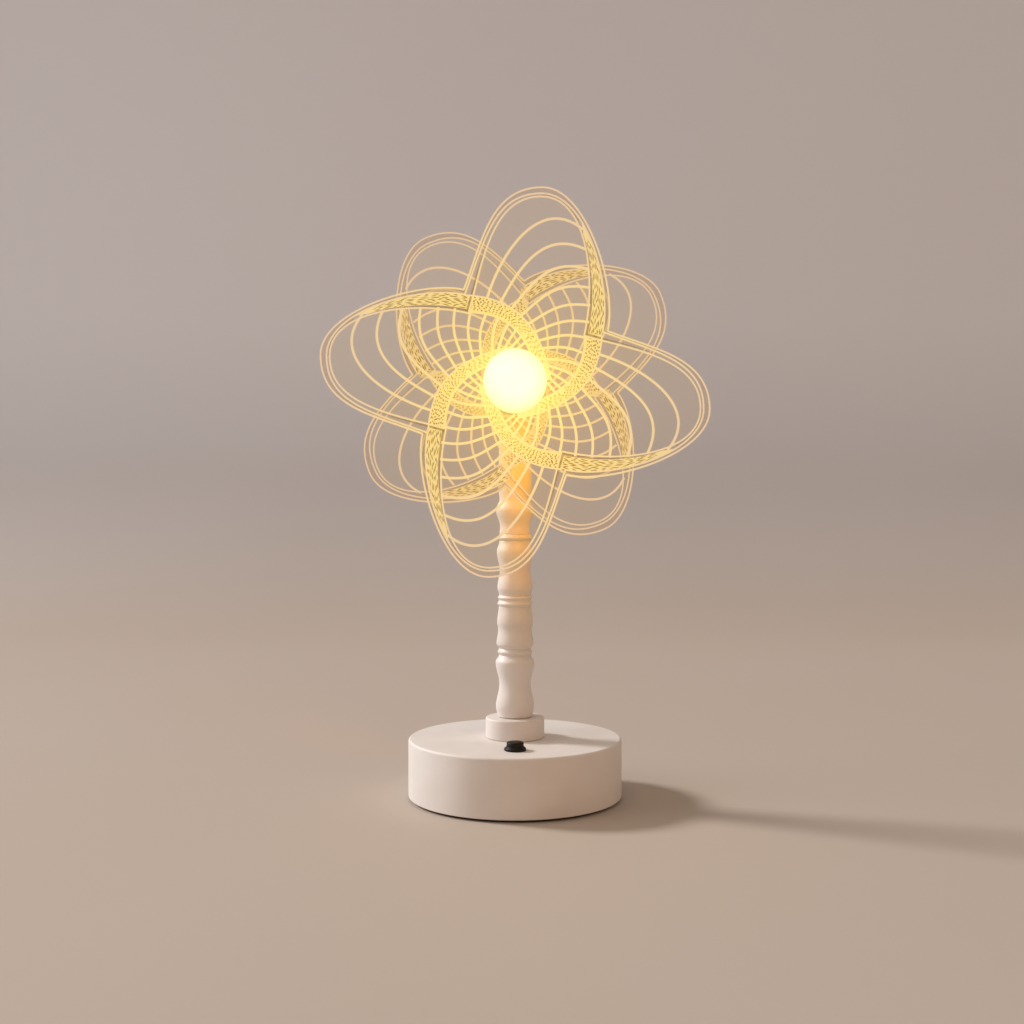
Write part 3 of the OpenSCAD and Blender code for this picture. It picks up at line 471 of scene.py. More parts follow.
def swell(rows, z, height, steps=10):
    edge = []
    for (share, radius), (next_share, next_radius) in zip(rows, rows[1:]):
        for i in range(steps):
            t = i / steps
            s = (1 - math.cos(math.pi * t)) / 2
            edge.append((radius + (next_radius - radius) * s,
                         z + height * (share + (next_share - share) * t)))
    edge.append((rows[-1][1], z + height))
    first, last = edge[0], edge[-1]
    body = [p for p in edge if z + 2 * CHAMFER < p[1] < z + height - 2 * CHAMFER]
    return ([(ROD_HOLE_R, z), (first[0] - CHAMFER, z), (first[0], z + CHAMFER)] + body
            + [(last[0], z + height - CHAMFER), (last[0] - CHAMFER, z + height), (ROD_HOLE_R, z + height)])


column_z = BASE_H + COLLAR_H
for column_name, column_h, column_rows in COLUMNS:
    column = lathe(swell(column_rows, column_z, column_h), sides=72)
    smooth(column, angle=40)
    hand_over(column, column_name + "_turned", "stand", ivory_stem, "white_stem", column_name)
    column_z += column_h
STEM_TOP = column_z
print("stem top in mm:", round(STEM_TOP, 2))

# %% [markdown]
# ## The push button
# A black bezel with a rounded foot stands on the base in front of the collar, and the button slides in it.
# Both are turned on the switch's own axis: the profile is spun at the lamp's axis and the piece is then
# moved out to the switch.

# %% Bezel and button
def switch_piece(profile):
    """A turned piece of the switch, its heights counted from the top of the base."""
    piece = lathe([(radius, BASE_H + height) for radius, height in profile], sides=64)
    piece.location = (0, SWITCH_Y * MM, 0)
    apply_place(piece)
    smooth(piece)
    return piece


bezel = switch_piece([(4.85, -10), (5.5, -10), (5.5, 0), (5.75, 0), (6.0, 0.2), (6.16, 0.55), (6.2, 0.9),
                      (6.08, 1.25), (5.8, 1.55), (5.45, 1.8), (5.2, 2.05), (5.1, 2.18), (4.95, 2.2),
                      (4.85, 2.1)])
hand_over(bezel, "switch_bezel_turned", "stand", satin_black, "black_plastic", "switch_bezel")
button = switch_piece([(0, -6), (4.6, -6), (4.8, -5.8), (4.8, 4.0), (4.74, 4.3), (4.55, 4.58), (4.2, 4.78),
                       (3.4, 4.93), (2.0, 4.99), (0, 5)])
hand_over(button, "switch_button_turned", "button", satin_black, "black_plastic", "switch_button")

# %% [markdown]
# Under the button a wire spring pushes it back up. A bevelled curve could draw it, but the Screw modifier
# winds it from the wire's round section, as a coiling machine does. Its foot stays with the switch and its
# top goes down with the button, so the real spring shortens when the button is pressed. Here it is put
# on neither body.

# %% Return spring
SPRING_R, WIRE_R, SPRING_TURNS, SPRING_LOW, SPRING_HIGH = 2.3, 0.3, 6, 19.36, 28.64
spring = add(bpy.ops.mesh.primitive_circle_add, vertices=10, radius=WIRE_R * MM,
             location=(SPRING_R * MM, 0, SPRING_LOW * MM), rotation=(math.pi / 2, 0, 0))
apply_place(spring)
modify(spring, "SCREW", angle=2 * math.pi, screw_offset=(SPRING_HIGH - SPRING_LOW) / SPRING_TURNS * MM,
       iterations=SPRING_TURNS, steps=24, render_steps=24)
edit(spring)
bpy.ops.mesh.fill_holes(sides=0)
clean(spring)
spring.location = (0, SWITCH_Y * MM, 0)
apply_place(spring)
smooth(spring, angle=60)
hand_over(spring, "switch_spring_wound", None, zinc_steel, "steel", "switch_spring")
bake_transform(spring)

# %% [markdown]
# ## Small cast and machined parts
# The knuckle, its screw and nut, the hub, the rings and the foot pad keep the shape of their solids, but
# real edges are never razor sharp. A copy of the solid is merged, its flat faces are dissolved into whole
# polygons, and a narrow Bevel modifier breaks every edge.

# %% Softened copies
FLAT_BELOW, SHARP_FROM = 2, 40


def soften(node, width, body, material, slot):
    only(nodes[node])
    bpy.ops.object.duplicate()
    piece = bpy.context.object
    piece.parent = None
    for key in list(piece.keys()):
        if key.startswith("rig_"):
            del piece[key]
    clean(piece)
    edit(piece)
    bpy.ops.mesh.dissolve_limited(angle_limit=math.radians(FLAT_BELOW))
    bpy.ops.object.mode_set(mode="OBJECT")
    modify(piece, "BEVEL", width=width * MM, segments=2, limit_method="ANGLE",
           angle_limit=math.radians(SHARP_FROM), harden_normals=True)
    smooth(piece)
    return hand_over(piece, node + "_softened", body, material, slot, node)


soften("knuckle_fork", 0.35, "stand", ivory_paint, "white_metal")
soften("tilt_screw", 0.25, "stand", zinc_steel, "steel")
soften("tilt_nut", 0.25, "stand", zinc_steel, "steel")
soften("head_hub", 0.3, "head", ivory_paint, "white_metal")
soften("petal_spacer", 0.3, "head", ivory_paint, "white_metal")
soften("base_pad", 0.3, "stand", foam_rubber, "soft_pad")

# %% [markdown]
# ## The flower's curves
# Each petal contour is two cubic curves that meet at the tip, and a Bezier spline in Blender is the same
# kind of curve, so the four control points go straight into it. Lengths are in millimetres in the flower's
# own plane: x to the right, y up, z towards the viewer. A flower's size is how far its tips and its notches
# reach. The petal drawn here leans to the right, with its tip at 82 degrees.

# %% Control points of one petal
PETAL_LEAN, NOTCH_LEAN, PETALS = 82, 29, 4
FRONT_SIZE, REAR_SIZE = (112.0, 60.5), (98.5, 59.5)


def polar(length, angle):
    return Vector((length * math.cos(math.radians(angle)), length * math.sin(math.radians(angle))))


def cubic(c, t):
    return (1 - t) ** 3 * c[0] + 3 * (1 - t) ** 2 * t * c[1] + 3 * (1 - t) * t * t * c[2] + t ** 3 * c[3]


def turned(point, angle):
    return Vector(point) @ Matrix.Rotation(math.radians(-angle), 2)


def flank_left(tip, notch, notch_turn, start, pull, shoulder):
    a, b = polar(notch, notch_turn + 90), polar(tip, PETAL_LEAN)
    return [a, a + polar(pull, start), b - Vector((shoulder, 0)), b]


def flank_right(tip, notch, notch_turn, end, pull, shoulder):
    a, b = polar(tip, PETAL_LEAN), polar(notch, notch_turn)
    return [a, a + Vector((shoulder, 0)), b + polar(pull, end), b]


def outline(reach, notch):
    return [flank_left(reach, notch, NOTCH_LEAN, 69, reach * 0.268, reach * 0.264),
            flank_right(reach, notch, NOTCH_LEAN, 76, reach * 0.213, reach * 0.23)]


print("front petal tip at", [round(v, 1) for v in outline(*FRONT_SIZE)[0][3]])

# %% [markdown]
# Two more contours lie inside the outline and drift away from it towards the notch. A last curve is the
# edge of the lace band, where it sweeps past the notch and in to the globe.

# %% Contours inside the outline
RIM_INSET = 3.0


def rim_line(reach, notch):
    place = (reach - 1.35 * RIM_INSET, notch - 1.1 * RIM_INSET, NOTCH_LEAN + 1)
    return [flank_left(*place, 70, reach * 0.312, reach * 0.237),
            flank_right(*place, 77, reach * 0.22, reach * 0.237)]


def inner_line(reach, notch):
    place = (reach - 1.95 * RIM_INSET, 0.78 * notch, NOTCH_LEAN + 5)
    return [flank_left(*place, 74, reach * 0.261, reach * 0.255),
            flank_right(*place, 77, reach * 0.28, reach * 0.24)]


def band_edge(reach):
    a, b = reach * Vector((0.422, 0.57)), reach * Vector((0.228, -0.11))
    return [a, a + polar(reach * 0.284, -84), b - polar(reach * 0.29, -152), b]


print("rim line's tip at", [round(v, 1) for v in rim_line(*FRONT_SIZE)[0][3]])

# %% [markdown]
# Two families of arcs fill the petal: long ones that span it, and short ones that start at the globe's
# seat. Each family is one formula. An arc's number, as a share from 0 to 1, moves its two ends and turns
# its directions, so the arcs fan out evenly.

# %% Arcs of one petal
LONG_ARCS, SHORT_ARCS, SEAT_R, ARC_W = 8, 5, 17.7, 1.3


def arch(a, b, start, end, bulge):
    pull = bulge * (b - a).length
    return [a, a + polar(pull, start), b - polar(pull, end), b]


def long_arc(reach, number):
    u = number / (LONG_ARCS - 1)
    a = turned(cubic(band_edge(reach), 0.548 + 0.752 * u - 0.232 * u * u), 90)
    b = reach * Vector((0.339 + 0.152 * u * (1 - u), 0.775 - 0.743 * u + 0.118 * u * u))
    return arch(a, b, 73 - 77 * u + 10 * u * u, -40 + 110 * u - 93 * u * u, 0.45)


def short_arc(reach, number):
    v = number / (SHORT_ARCS - 1)
    b = reach * Vector((0.324 - 0.095 * v - 0.02 * v * v, 0.085 - 0.24 * v + 0.094 * v * v))
    start_r = SEAT_R + ARC_W
    lead = (b.length - start_r) * (1.6 + 0.86 * v)
    a = polar(start_r, math.degrees(math.atan2(b.y, b.x)) + lead)
    return arch(a, b, -4 - 48 * v, -34 - 21 * v, 0.36)


print("arcs in a petal:", LONG_ARCS + SHORT_ARCS)

# %% [markdown]
# ## Placing the two layers
# Four petals stand a quarter turn apart. The front flower is drawn as it is. The rear one is smaller,
# mirrored and turned. A layer's depth is counted forward from the axis that the head tilts about.

# %% The two layers
FORK_FOOT_H, PIVOT_RISE = 7, 11
PIVOT_Z = STEM_TOP + FORK_FOOT_H + PIVOT_RISE
SHEET_T, SHEET_HOLE_R, REAR_LEAN = 2.0, 16.6, 32.0
LAYERS = {
    "front": dict(node="front_petals", size=FRONT_SIZE, back=23.0, turn=0.0, mirrored=False, band_from=0.34),
    "rear": dict(node="rear_petals", size=REAR_SIZE, back=15.0, turn=REAR_LEAN - (180 - PETAL_LEAN),
                 mirrored=True, band_from=0.5),
}


def place_layer(piece, layer, depth):
    facing = Matrix.Rotation(math.radians(90), 4, "X") @ Matrix.Rotation(math.radians(layer["turn"]), 4, "Z")
    flip = Matrix.Diagonal((-1 if layer["mirrored"] else 1, 1, 1, 1))
    lift = Matrix.Translation((0, 0, (layer["back"] + depth) * MM))
    piece.matrix_world = Matrix.Translation((0, 0, PIVOT_Z * MM)) @ facing @ lift @ flip
    apply_place(piece)
    clean(piece, merge=0.001)


def repeat_petals(piece):
    edit(piece)
    for _ in range(PETALS - 1):
        bpy.ops.mesh.duplicate()
        bpy.ops.transform.rotate(value=math.radians(90), orient_axis="Z", center_override=(0, 0, 0))
    bpy.ops.object.mode_set(mode="OBJECT")


print("tilt axis height in mm:", round(PIVOT_Z, 2))


# %% [markdown]
# ## Finishes that carry light
# The sheets are lit through their inner edge by the globe. An engraved line throws that light out, most of
# it close to the globe and less with every line that the light has passed, so the glow fades and reddens
# with the distance from the flower's centre. The glow is the finish's own emission. Cycles isn't asked to
# treat the thousands of line faces as lamps, because a lamp inside the globe lights the rest of the scene.

# %% Distance from the flower's centre, and lit lines
GLOBE_EDGE, GLOW_REACH, HAZE_REACH, SPECKS_PER_MM = 18.0, 92.0, 42.0, 0.8


def petal_distance(where):
    x, up = along(where, "X"), along(where, "Z") - PIVOT_Z * MM
    return (x * x + up * up) ** 0.5


def lit(name, near, middle, far, grain, alpha=None):
    material, shader, where = start_finish(name)
    share = ((petal_distance(where) - GLOBE_EDGE * MM) / (GLOW_REACH * MM)).held()
    speck = noise(where, SPECKS_PER_MM)
    shade = (share + grain * (speck - 0.5)).held()
    glow = ramp(shade, (0.0, near), (0.3, middle), (1.0, far))
    wire(material, shader, Base_Color=colours(speck, (0.02, 0.015, 0.01), (0.04, 0.03, 0.02)),
         Roughness=0.5 + 0.2 * speck, Emission_Color=glow, Emission_Strength=1.0)
    if alpha:
        wire(material, shader, Alpha=alpha[0] + (alpha[1] - alpha[0]) * (1 - share) ** 2)
    material.cycles.emission_sampling = "NONE"
    return material


lit_front = lit("lit_front", (1.0, 0.8, 0.22), (0.92, 0.67, 0.27), (0.78, 0.55, 0.34), 0.3)
lit_rear = lit("lit_rear", (0.95, 0.75, 0.22), (0.84, 0.58, 0.27), (0.7, 0.49, 0.33), 0.3)
band_front = lit("band_front", (0.98, 0.82, 0.2), (0.96, 0.71, 0.21), (0.92, 0.66, 0.3), 0.5, (0.85, 0.97))
band_rear = lit("band_rear", (0.96, 0.74, 0.18), (0.9, 0.63, 0.22), (0.84, 0.57, 0.27), 0.5, (0.8, 0.9))
# The next two finishes are painted shade: dark amber-brown strips laid over the clear sheet between bright
# lines, with a faint glow of their own.
shade_gap_front = lit("shade_gap_front", (0.5, 0.3, 0.03), (0.26, 0.135, 0.03), (0.36, 0.22, 0.11), 0.4, (0.4, 1.0))
shade_gap_rear = lit("shade_gap_rear", (0.5, 0.3, 0.05), (0.38, 0.22, 0.09), (0.42, 0.27, 0.16), 0.4, (0.25, 0.6))
lace_dark = lit("lace_dark", (0.8, 0.5, 0.07), (0.36, 0.19, 0.03), (0.25, 0.13, 0.03), 1.3)
lace_brown = lit("lace_brown", (0.55, 0.32, 0.05), (0.3, 0.155, 0.04), (0.29, 0.16, 0.06), 0.8)
# The rim strip's finish is partly the globe's glow and partly painted shade, a brown tint over the clear
# sheet.
rim_glow_and_shade = lit("rim_glow_and_shade", (0.5, 0.28, 0.04), (0.34, 0.2, 0.07), (0.4, 0.25, 0.15), 0.3, (0.25, 0.9))
print("lit finishes: 9")

# %% [markdown]
# The sheet itself is almost invisible: a few per cent of tint, an amber haze close to the globe where the
# light enters, and a faint unevenness in its gloss.

# %% Clear sheet
SHEET_TINT, CLOUD_TINT, HAZE_TINT, INNER_TINT = 0.055, 0.02, 0.12, 0.14
clear_sheet, sheet_shader, sheet_where = start_finish("clear_sheet")
sheet_share = ((petal_distance(sheet_where) - GLOBE_EDGE * MM) / (HAZE_REACH * MM)).held()
sheet_haze = (1 - sheet_share) ** 2
sheet_cloud = noise(sheet_where, 0.02)
wire(clear_sheet, sheet_shader, Base_Color=colours(sheet_cloud, (0.1, 0.07, 0.05), (0.14, 0.1, 0.07)),
     Roughness=0.06 + 0.08 * sheet_cloud, Emission_Color=(0.58, 0.34, 0.04, 1), Emission_Strength=1.0,
     Alpha=SHEET_TINT + CLOUD_TINT * sheet_cloud + HAZE_TINT * sheet_haze + INNER_TINT * sheet_haze ** 6)
clear_sheet.cycles.emission_sampling = "NONE"
print("clear sheet finish made")


# %% [markdown]
# ## The clear sheets
# A sheet is a flat filled curve: the flower's outline with a round hole for the hub. The curve's own
# thickness and bevel give it a rounded rim, which is cheaper and smoother than bevelling a mesh. The rim is
# where the light gets out, so its faces take the lit finish.

# %% Flower sheets
RIM_ROUND, HOLE_RIM, FACE_FROM = 0.7, 4.0, 0.97


def set_knot(knot, left, at, right):
    knot.handle_left_type = knot.handle_right_type = "FREE"
    knot.co, knot.handle_left, knot.handle_right = ((*(p * MM), 0) for p in (at, left, right))


def flower_sheet(name, layer, rim_finish):
    sheet = add(bpy.ops.curve.primitive_bezier_circle_add, radius=SHEET_HOLE_R * MM)
    curve = sheet.data
    curve.dimensions, curve.fill_mode = "2D", "BOTH"
    curve.resolution_u = 20
    halves = []
    for k in range(PETALS):
        for half in outline(*(length - RIM_ROUND for length in layer["size"])):
            halves.append([turned(p, -90 * k) for p in half])
    rim = curve.splines.new("BEZIER")
    rim.bezier_points.add(len(halves) - 1)
    rim.use_cyclic_u = True
    for i, half in enumerate(halves):
        set_knot(rim.bezier_points[i], halves[i - 1][2], half[0], half[1])
    curve.extrude = (SHEET_T / 2 - RIM_ROUND) * MM
    curve.bevel_depth = RIM_ROUND * MM
    curve.bevel_resolution = 3
    sheet = to_mesh(sheet)
    sheet.data.materials.clear()
    sheet.data.materials.append(clear_sheet)
    sheet.data.materials.append(rim_finish)
    for face in sheet.data.polygons:
        outside = face.center.xy.length > (SHEET_HOLE_R + HOLE_RIM) * MM
        face.material_index = 1 if outside and abs(face.normal.z) < FACE_FROM else 0
    place_layer(sheet, layer, SHEET_T / 2)
    smooth(sheet, angle=30)
    return hand_over(sheet, name, "head", None, "clear_sheet", layer["node"])


flower_sheet("front_sheet_lit", LAYERS["front"], lit_front)
flower_sheet("rear_sheet_lit", LAYERS["rear"], lit_rear)

# %% [markdown]
# ## The engraved lines
# Every line is one Bezier spline with a round bevel, made a mesh and pressed flat on the sheet's face,
# where the solid has a groove. One petal's lines are drawn, then copied round by quarter turns. Each layer
# of the drawing lies a hair in front of the last.

# %% Drawing lines
LINE_T, ETCHING_OUT, GAP_OUT, LINE_OUT = 0.2, 0.02, 0.04, 0.08


def draw_lines(name, layer, curves, width, finish):
    line = add(bpy.ops.curve.primitive_bezier_curve_add, radius=MM)
    curve = line.data
    while len(curve.splines) < len(curves):
        curve.splines.new("BEZIER").bezier_points.add(1)
    for spline, c in zip(curve.splines, curves):
        set_knot(spline.bezier_points[0], c[0], c[0], c[1])
        set_knot(spline.bezier_points[1], c[2], c[3], c[3])
    curve.dimensions = "3D"
    curve.resolution_u = 28
    curve.bevel_depth = width / 2 * MM
    curve.bevel_resolution = 1
    curve.use_fill_caps = True
    line = to_mesh(line)
    line.scale.z = LINE_T / width
    apply_place(line)
    repeat_petals(line)
    place_layer(line, layer, SHEET_T + LINE_OUT)
    smooth(line, angle=60)
    return hand_over(line, name, "head", finish, "clear_sheet")


print("lines are pressed to", LINE_T, "mm")

# %% [markdown]
# Some curves are wanted longer or shorter than their control points give. The arcs run on to meet the band,
# and the band's edge starts at the notch and runs on under the globe.

# %% Contours and arcs
EDGE_IN, CONTOUR_W, LIT_ARC_W = 0.6, 1.0, 1.5
SWEEP_FROM, SWEEP_TO, SHORT_ON, SHORT_BEFORE = 0.415, 1.22, 1.0, 1.2


def longer(c, extra, before=0):
    """A curve that runs on past its ends in its last and first directions."""
    on, off = (c[3] - c[2]).normalized() * extra, (c[1] - c[0]).normalized() * before
    return [c[0] - off, c[1] - off, c[2] + on, c[3] + on]


def cut_short(c, start, end):
    """The stretch of a cubic curve between two of its parameters, as a cubic curve."""
    a, b = cubic(c, start), cubic(c, end)
    step = 1e-4
    reach_out = (cubic(c, start + step) - a) / step * (end - start) / 3
    reach_in = (b - cubic(c, end - step)) / step * (end - start) / 3
    return [a, a + reach_out, b - reach_in, b]


for layer_name, layer, finish, scale, extra in (("front", LAYERS["front"], lit_front, 1.0, 0.5),
                                                ("rear", LAYERS["rear"], lit_rear, 0.85, 2.5)):
    reach, notch = layer["size"]
    contours = (outline(reach - EDGE_IN, notch - EDGE_IN) + rim_line(reach, notch) + inner_line(reach, notch)
                + [cut_short(band_edge(reach), SWEEP_FROM, SWEEP_TO)])
    arcs = [longer(long_arc(reach, i), extra) for i in range(LONG_ARCS)]
    arcs += [longer(short_arc(reach, i), SHORT_ON, SHORT_BEFORE) for i in range(SHORT_ARCS)]
    draw_lines(layer_name + "_contours", layer, contours, CONTOUR_W * scale, finish)
    draw_lines(layer_name + "_arcs", layer, arcs, LIT_ARC_W * scale, finish)


# %% [markdown]
# ## The lace bands
# Along one flank of each petal runs a band of lace that sweeps on, past the notch, in to the globe. The
# band is etched and bright, with small lens-shaped gaps that stay dark: long ones on the flank, dots near
# the globe. Three narrower strips go with it: a dark strip of painted shade between the contour lines, a
# dark wedge of painted shade at the notch, and an amber strip along the rim that is partly the globe's
# glow and partly painted shade. Each strip is a grid of quads that is laid between two curves, or beside
# one. A place on it has two numbers: s goes from 0 to 2 along the strip, past 1 on to its second
# stretch, and w from 0 to 1 across it.

# %% Where the strips lie
BAND_SHARE, BAND_TAPER, BAND_START, BAND_END, BAND_PUSH = 0.8, 0.15, 0.1, 0.2, 3.4
SWEEP_WIDE, SWEEP_NARROWS, AHEAD, SEAT_CLEAR = 0.09, 0.03, 0.01, 0.1
PAIR_W, WEDGE_RUN, WEDGE_WIDE, WEDGE_NARROWS = 2.2, 0.22, 0.75, 0.33


def between(outer, inner, t, w):
    a, b = cubic(outer, t), cubic(inner, t)
    return a + (b - a) * w


def band_point(layer, s, w):
    if s < 1:
        t = layer["band_from"] + (1 - layer["band_from"]) * s
        rim, inner = rim_line(*layer["size"])[1], inner_line(*layer["size"])[1]
        push = (rim[3] - rim[2]).normalized() * BAND_PUSH * (1 - w) * max(0, 1 - (1 - s) / BAND_END)
        return between(rim, inner, t, BAND_SHARE * w * min(1, s / BAND_TAPER + BAND_START)) + push
    t = SWEEP_FROM + (SWEEP_TO - SWEEP_FROM) * (s - 1)
    reach = layer["size"][0]
    edge = band_edge(reach)
    outer = cubic(edge, t)
    ahead = (cubic(edge, t + AHEAD) - outer).normalized()
    point = outer + Vector((ahead.y, -ahead.x)) * reach * (SWEEP_WIDE - SWEEP_NARROWS * (s - 1)) * w
    return point.normalized() * max(point.length, SEAT_R + SEAT_CLEAR)


def gap_point(layer, s, w):
    t = s / 2
    start = 0 if t < layer["band_from"] else BAND_SHARE
    return between(rim_line(*layer["size"])[1], inner_line(*layer["size"])[1], t, start + (1 - start) * w)


def beside(c, t, distance):
    """A point at a distance to the left of a cubic curve."""
    at, step = cubic(c, t), 1e-3
    ahead = (cubic(c, t + step) - at).normalized()
    return at + Vector((-ahead.y, ahead.x)) * distance


def notch_gap_point(layer, s, w):
    wedge = WEDGE_WIDE - WEDGE_NARROWS * s
    inner = inner_line(*layer["size"])[0]
    return beside(inner, WEDGE_RUN * s, PAIR_W * (0.5 + (0.5 - w) * wedge))


def rim_point(layer, s, w):
    half, t = (0, s) if s < 1 else (1, s - 1)
    return between(outline(*layer["size"])[half], rim_line(*layer["size"])[half], t, w)


print("the front band starts at", [round(v, 1) for v in band_point(LAYERS["front"], 0, 0)])

# %% [markdown]
# The Grid primitive gives the quads. A vertex's x stands for s and its y for w, so each vertex is moved to
# its place on the petal, and the petal's strip is then copied round.

# %% Strips of etching and of painted shade
STRIP_END = 1.9999


def strip(name, layer, point_at, out, finish):
    ground = add(bpy.ops.mesh.primitive_grid_add, x_subdivisions=120, y_subdivisions=2, size=1)
    for v in ground.data.vertices:
        v.co = (*(point_at(layer, (v.co.x + 0.5) * STRIP_END, v.co.y + 0.5) * MM), 0)
    repeat_petals(ground)
    place_layer(ground, layer, SHEET_T + out)
    return hand_over(ground, name, "head", finish, "clear_sheet")


for layer_name, band_finish, shade_gap_finish in (("front", band_front, shade_gap_front), ("rear", band_rear, shade_gap_rear)):
    strip(layer_name + "_band", LAYERS[layer_name], band_point, ETCHING_OUT, band_finish)
    # The strip between the contour lines and the wedge at the notch are painted shade beside the bright
    # lines.
    strip(layer_name + "_gap", LAYERS[layer_name], gap_point, GAP_OUT, shade_gap_finish)
    strip(layer_name + "_notch_gap", LAYERS[layer_name], notch_gap_point, GAP_OUT, shade_gap_finish)
    # The rim strip is partly glow and partly painted shade.
    strip(layer_name + "_rim", LAYERS[layer_name], rim_point, ETCHING_OUT, rim_glow_and_shade)

# %% [markdown]
# The gaps of the lace are drawn like the lines, as short splines that swell in the middle. They stand in
# rows along the band, and a seeded random generator gives each its own length and distance, so every run
# draws the same lace. A gap stands a hair out of the band on both sides, because the lace is seen from
# behind as well, through the sheet.

# %% Gaps in the lace
FLANK_MM, SWEEP_MM, FLANK_END, LACE_END = 55.0, 65.0, 0.985, 1.97
FLANK_WIDEST, SWEEP_WIDEST, SWEEP_DASH, SWEEP_DISTANCE = 1.1, 1.05, (0.8, 1.7), (0.7, 2.0)
FIRST_GAP, ROW_SHIFT, FIRST_SPREAD, SWEEP_SHARE = 0.05, 0.04, 0.03, 0.85
LEAST_ROOM, LEAST_LENGTH, LEAN, LACE_FLAT = 0.45, 0.01, 0.06, 0.12
SWELLING, LEAST_SWELL, LACE_R, LACE_SEED = (0.15, 0.8, 1, 0.8, 0.15), 0.65, 0.5, 7
ROW_PLACE, ROW_SPARE = (0.5, 0.8), 0.3


def fill_with_gaps(curve, layer, rows, dash, distance, thick):
    chance = random.Random(LACE_SEED)
    for row in range(rows):
        s = FIRST_GAP + ROW_SHIFT * (row % 2) + FIRST_SPREAD * chance.random()
        while s < LACE_END:
            flank = s < 1
            span = FLANK_MM if flank else SWEEP_MM
            lengths, gaps, widest = SWEEP_DASH, SWEEP_DISTANCE, SWEEP_WIDEST
            if flank:
                lengths, gaps, widest = dash, distance, FLANK_WIDEST
            length = chance.uniform(*lengths) / span
            if flank:
                length = min(length, FLANK_END - s)
            room = (band_point(layer, s, 1) - band_point(layer, s, 0)).length / rows
            w = (row + chance.uniform(*ROW_PLACE)) / (rows + ROW_SPARE) * (1 if flank else SWEEP_SHARE)
            lean = chance.uniform(-LEAN, LEAN)
            if room > LEAST_ROOM and length > LEAST_LENGTH:
                spline = curve.splines.new("POLY")
                steps = len(SWELLING) - 1
                spline.points.add(steps)
                for i, knot in enumerate(spline.points):
                    point = band_point(layer, s + length * i / steps, w + lean * (2 * i / steps - 1))
                    knot.co = (*(point * MM), 0, 1)
                    knot.radius = min(room * thick, widest) * SWELLING[i] * chance.uniform(LEAST_SWELL, 1)
            s += max(length, LEAST_LENGTH) + chance.uniform(*gaps) / span


def lace_gaps(name, layer, finish, **pattern):
    lace = add(bpy.ops.curve.primitive_nurbs_path_add, radius=MM)
    curve = lace.data
    curve.splines.clear()
    fill_with_gaps(curve, layer, **pattern)
    curve.bevel_depth = LACE_R * MM
    curve.bevel_resolution = 0
    lace = to_mesh(lace)
    lace.scale.z = LACE_FLAT
    apply_place(lace)
    repeat_petals(lace)
    place_layer(lace, layer, SHEET_T + ETCHING_OUT)
    return hand_over(lace, name, "head", finish, "clear_sheet")


lace_gaps("front_lace", LAYERS["front"], lace_dark, rows=7, dash=(1.7, 4.4), distance=(0.8, 2.0), thick=0.64)
lace_gaps("rear_lace", LAYERS["rear"], lace_brown, rows=6, dash=(2.4, 6.0), distance=(0.8, 2.0), thick=0.62)

# %% [markdown]
# ## The globe
# The globe is an opal ball with a short neck that goes into the hub. A sphere is cut with Bisect where the
# neck starts, the open edge is extruded back, and Solidify gives the wall. It is the lamp's light, so its
# finish glows.

# %% Globe finish
opal_globe, globe_shader, globe_where = start_finish("opal_globe")
globe_cloud = noise(globe_where, 0.05)
globe_share = (petal_distance(globe_where) / (GLOBE_EDGE * MM) + 0.1 * (globe_cloud - 0.5)).held()
globe_glow = ramp(globe_share, (0.5, (1.0, 0.95, 0.66)), (0.86, (1.0, 0.91, 0.48)), (1.0, (1.0, 0.84, 0.26)))
wire(opal_globe, globe_shader, Base_Color=colours(globe_cloud, (0.3, 0.27, 0.2), (0.34, 0.31, 0.24)),
     Roughness=0.5 + 0.1 * globe_cloud, Emission_Color=globe_glow, Emission_Strength=0.98,
     Specular_IOR_Level=0.04)
print("globe finish made")

# %% Globe
GLOBE_R, NECK_R, GLOBE_MEET, NECK_BACK, GLOBE_WALL = 17.75, 15.2, 26.8, 18.7, 1.5
GLOBE_A = GLOBE_MEET + math.sqrt(GLOBE_R ** 2 - NECK_R ** 2)
globe_centre = (0, -GLOBE_A * MM, PIVOT_Z * MM)
globe = add(bpy.ops.mesh.primitive_uv_sphere_add, segments=96, ring_count=48, radius=GLOBE_R * MM,
            location=globe_centre, rotation=(math.pi / 2, 0, 0))
apply_place(globe)
edit(globe)
bpy.ops.mesh.bisect(plane_co=(0, -GLOBE_MEET * MM, PIVOT_Z * MM), plane_no=(0, 1, 0), clear_outer=True)
bpy.ops.mesh.extrude_region_move(TRANSFORM_OT_translate={"value": (0, (GLOBE_MEET - NECK_BACK) * MM, 0)})
bpy.ops.object.mode_set(mode="OBJECT")
clean(globe)
modify(globe, "SOLIDIFY", thickness=GLOBE_WALL * MM, offset=-1)
smooth(globe, angle=50)
hand_over(globe, "globe_lit", "head", opal_globe, "opal_globe", "globe")

# %% [markdown]
# The ring that clamps the front sheet lies so close to the globe that it seems to glow too. So it gets its
# softened edges like the other small parts, but a lit finish of its own in place of the paint.

# %% Clamp ring
lit_ring = lit("lit_ring", (1.0, 0.86, 0.32), (0.96, 0.76, 0.26), (0.8, 0.5, 0.2), 0.3)
soften("clamp_ring", 0.3, "head", lit_ring, "white_metal")

# %% [markdown]
# ## Finishes of the solids that stay
# The parts inside the base, the stem and the hub keep their solids. Each gets the finish that the real part
# has.

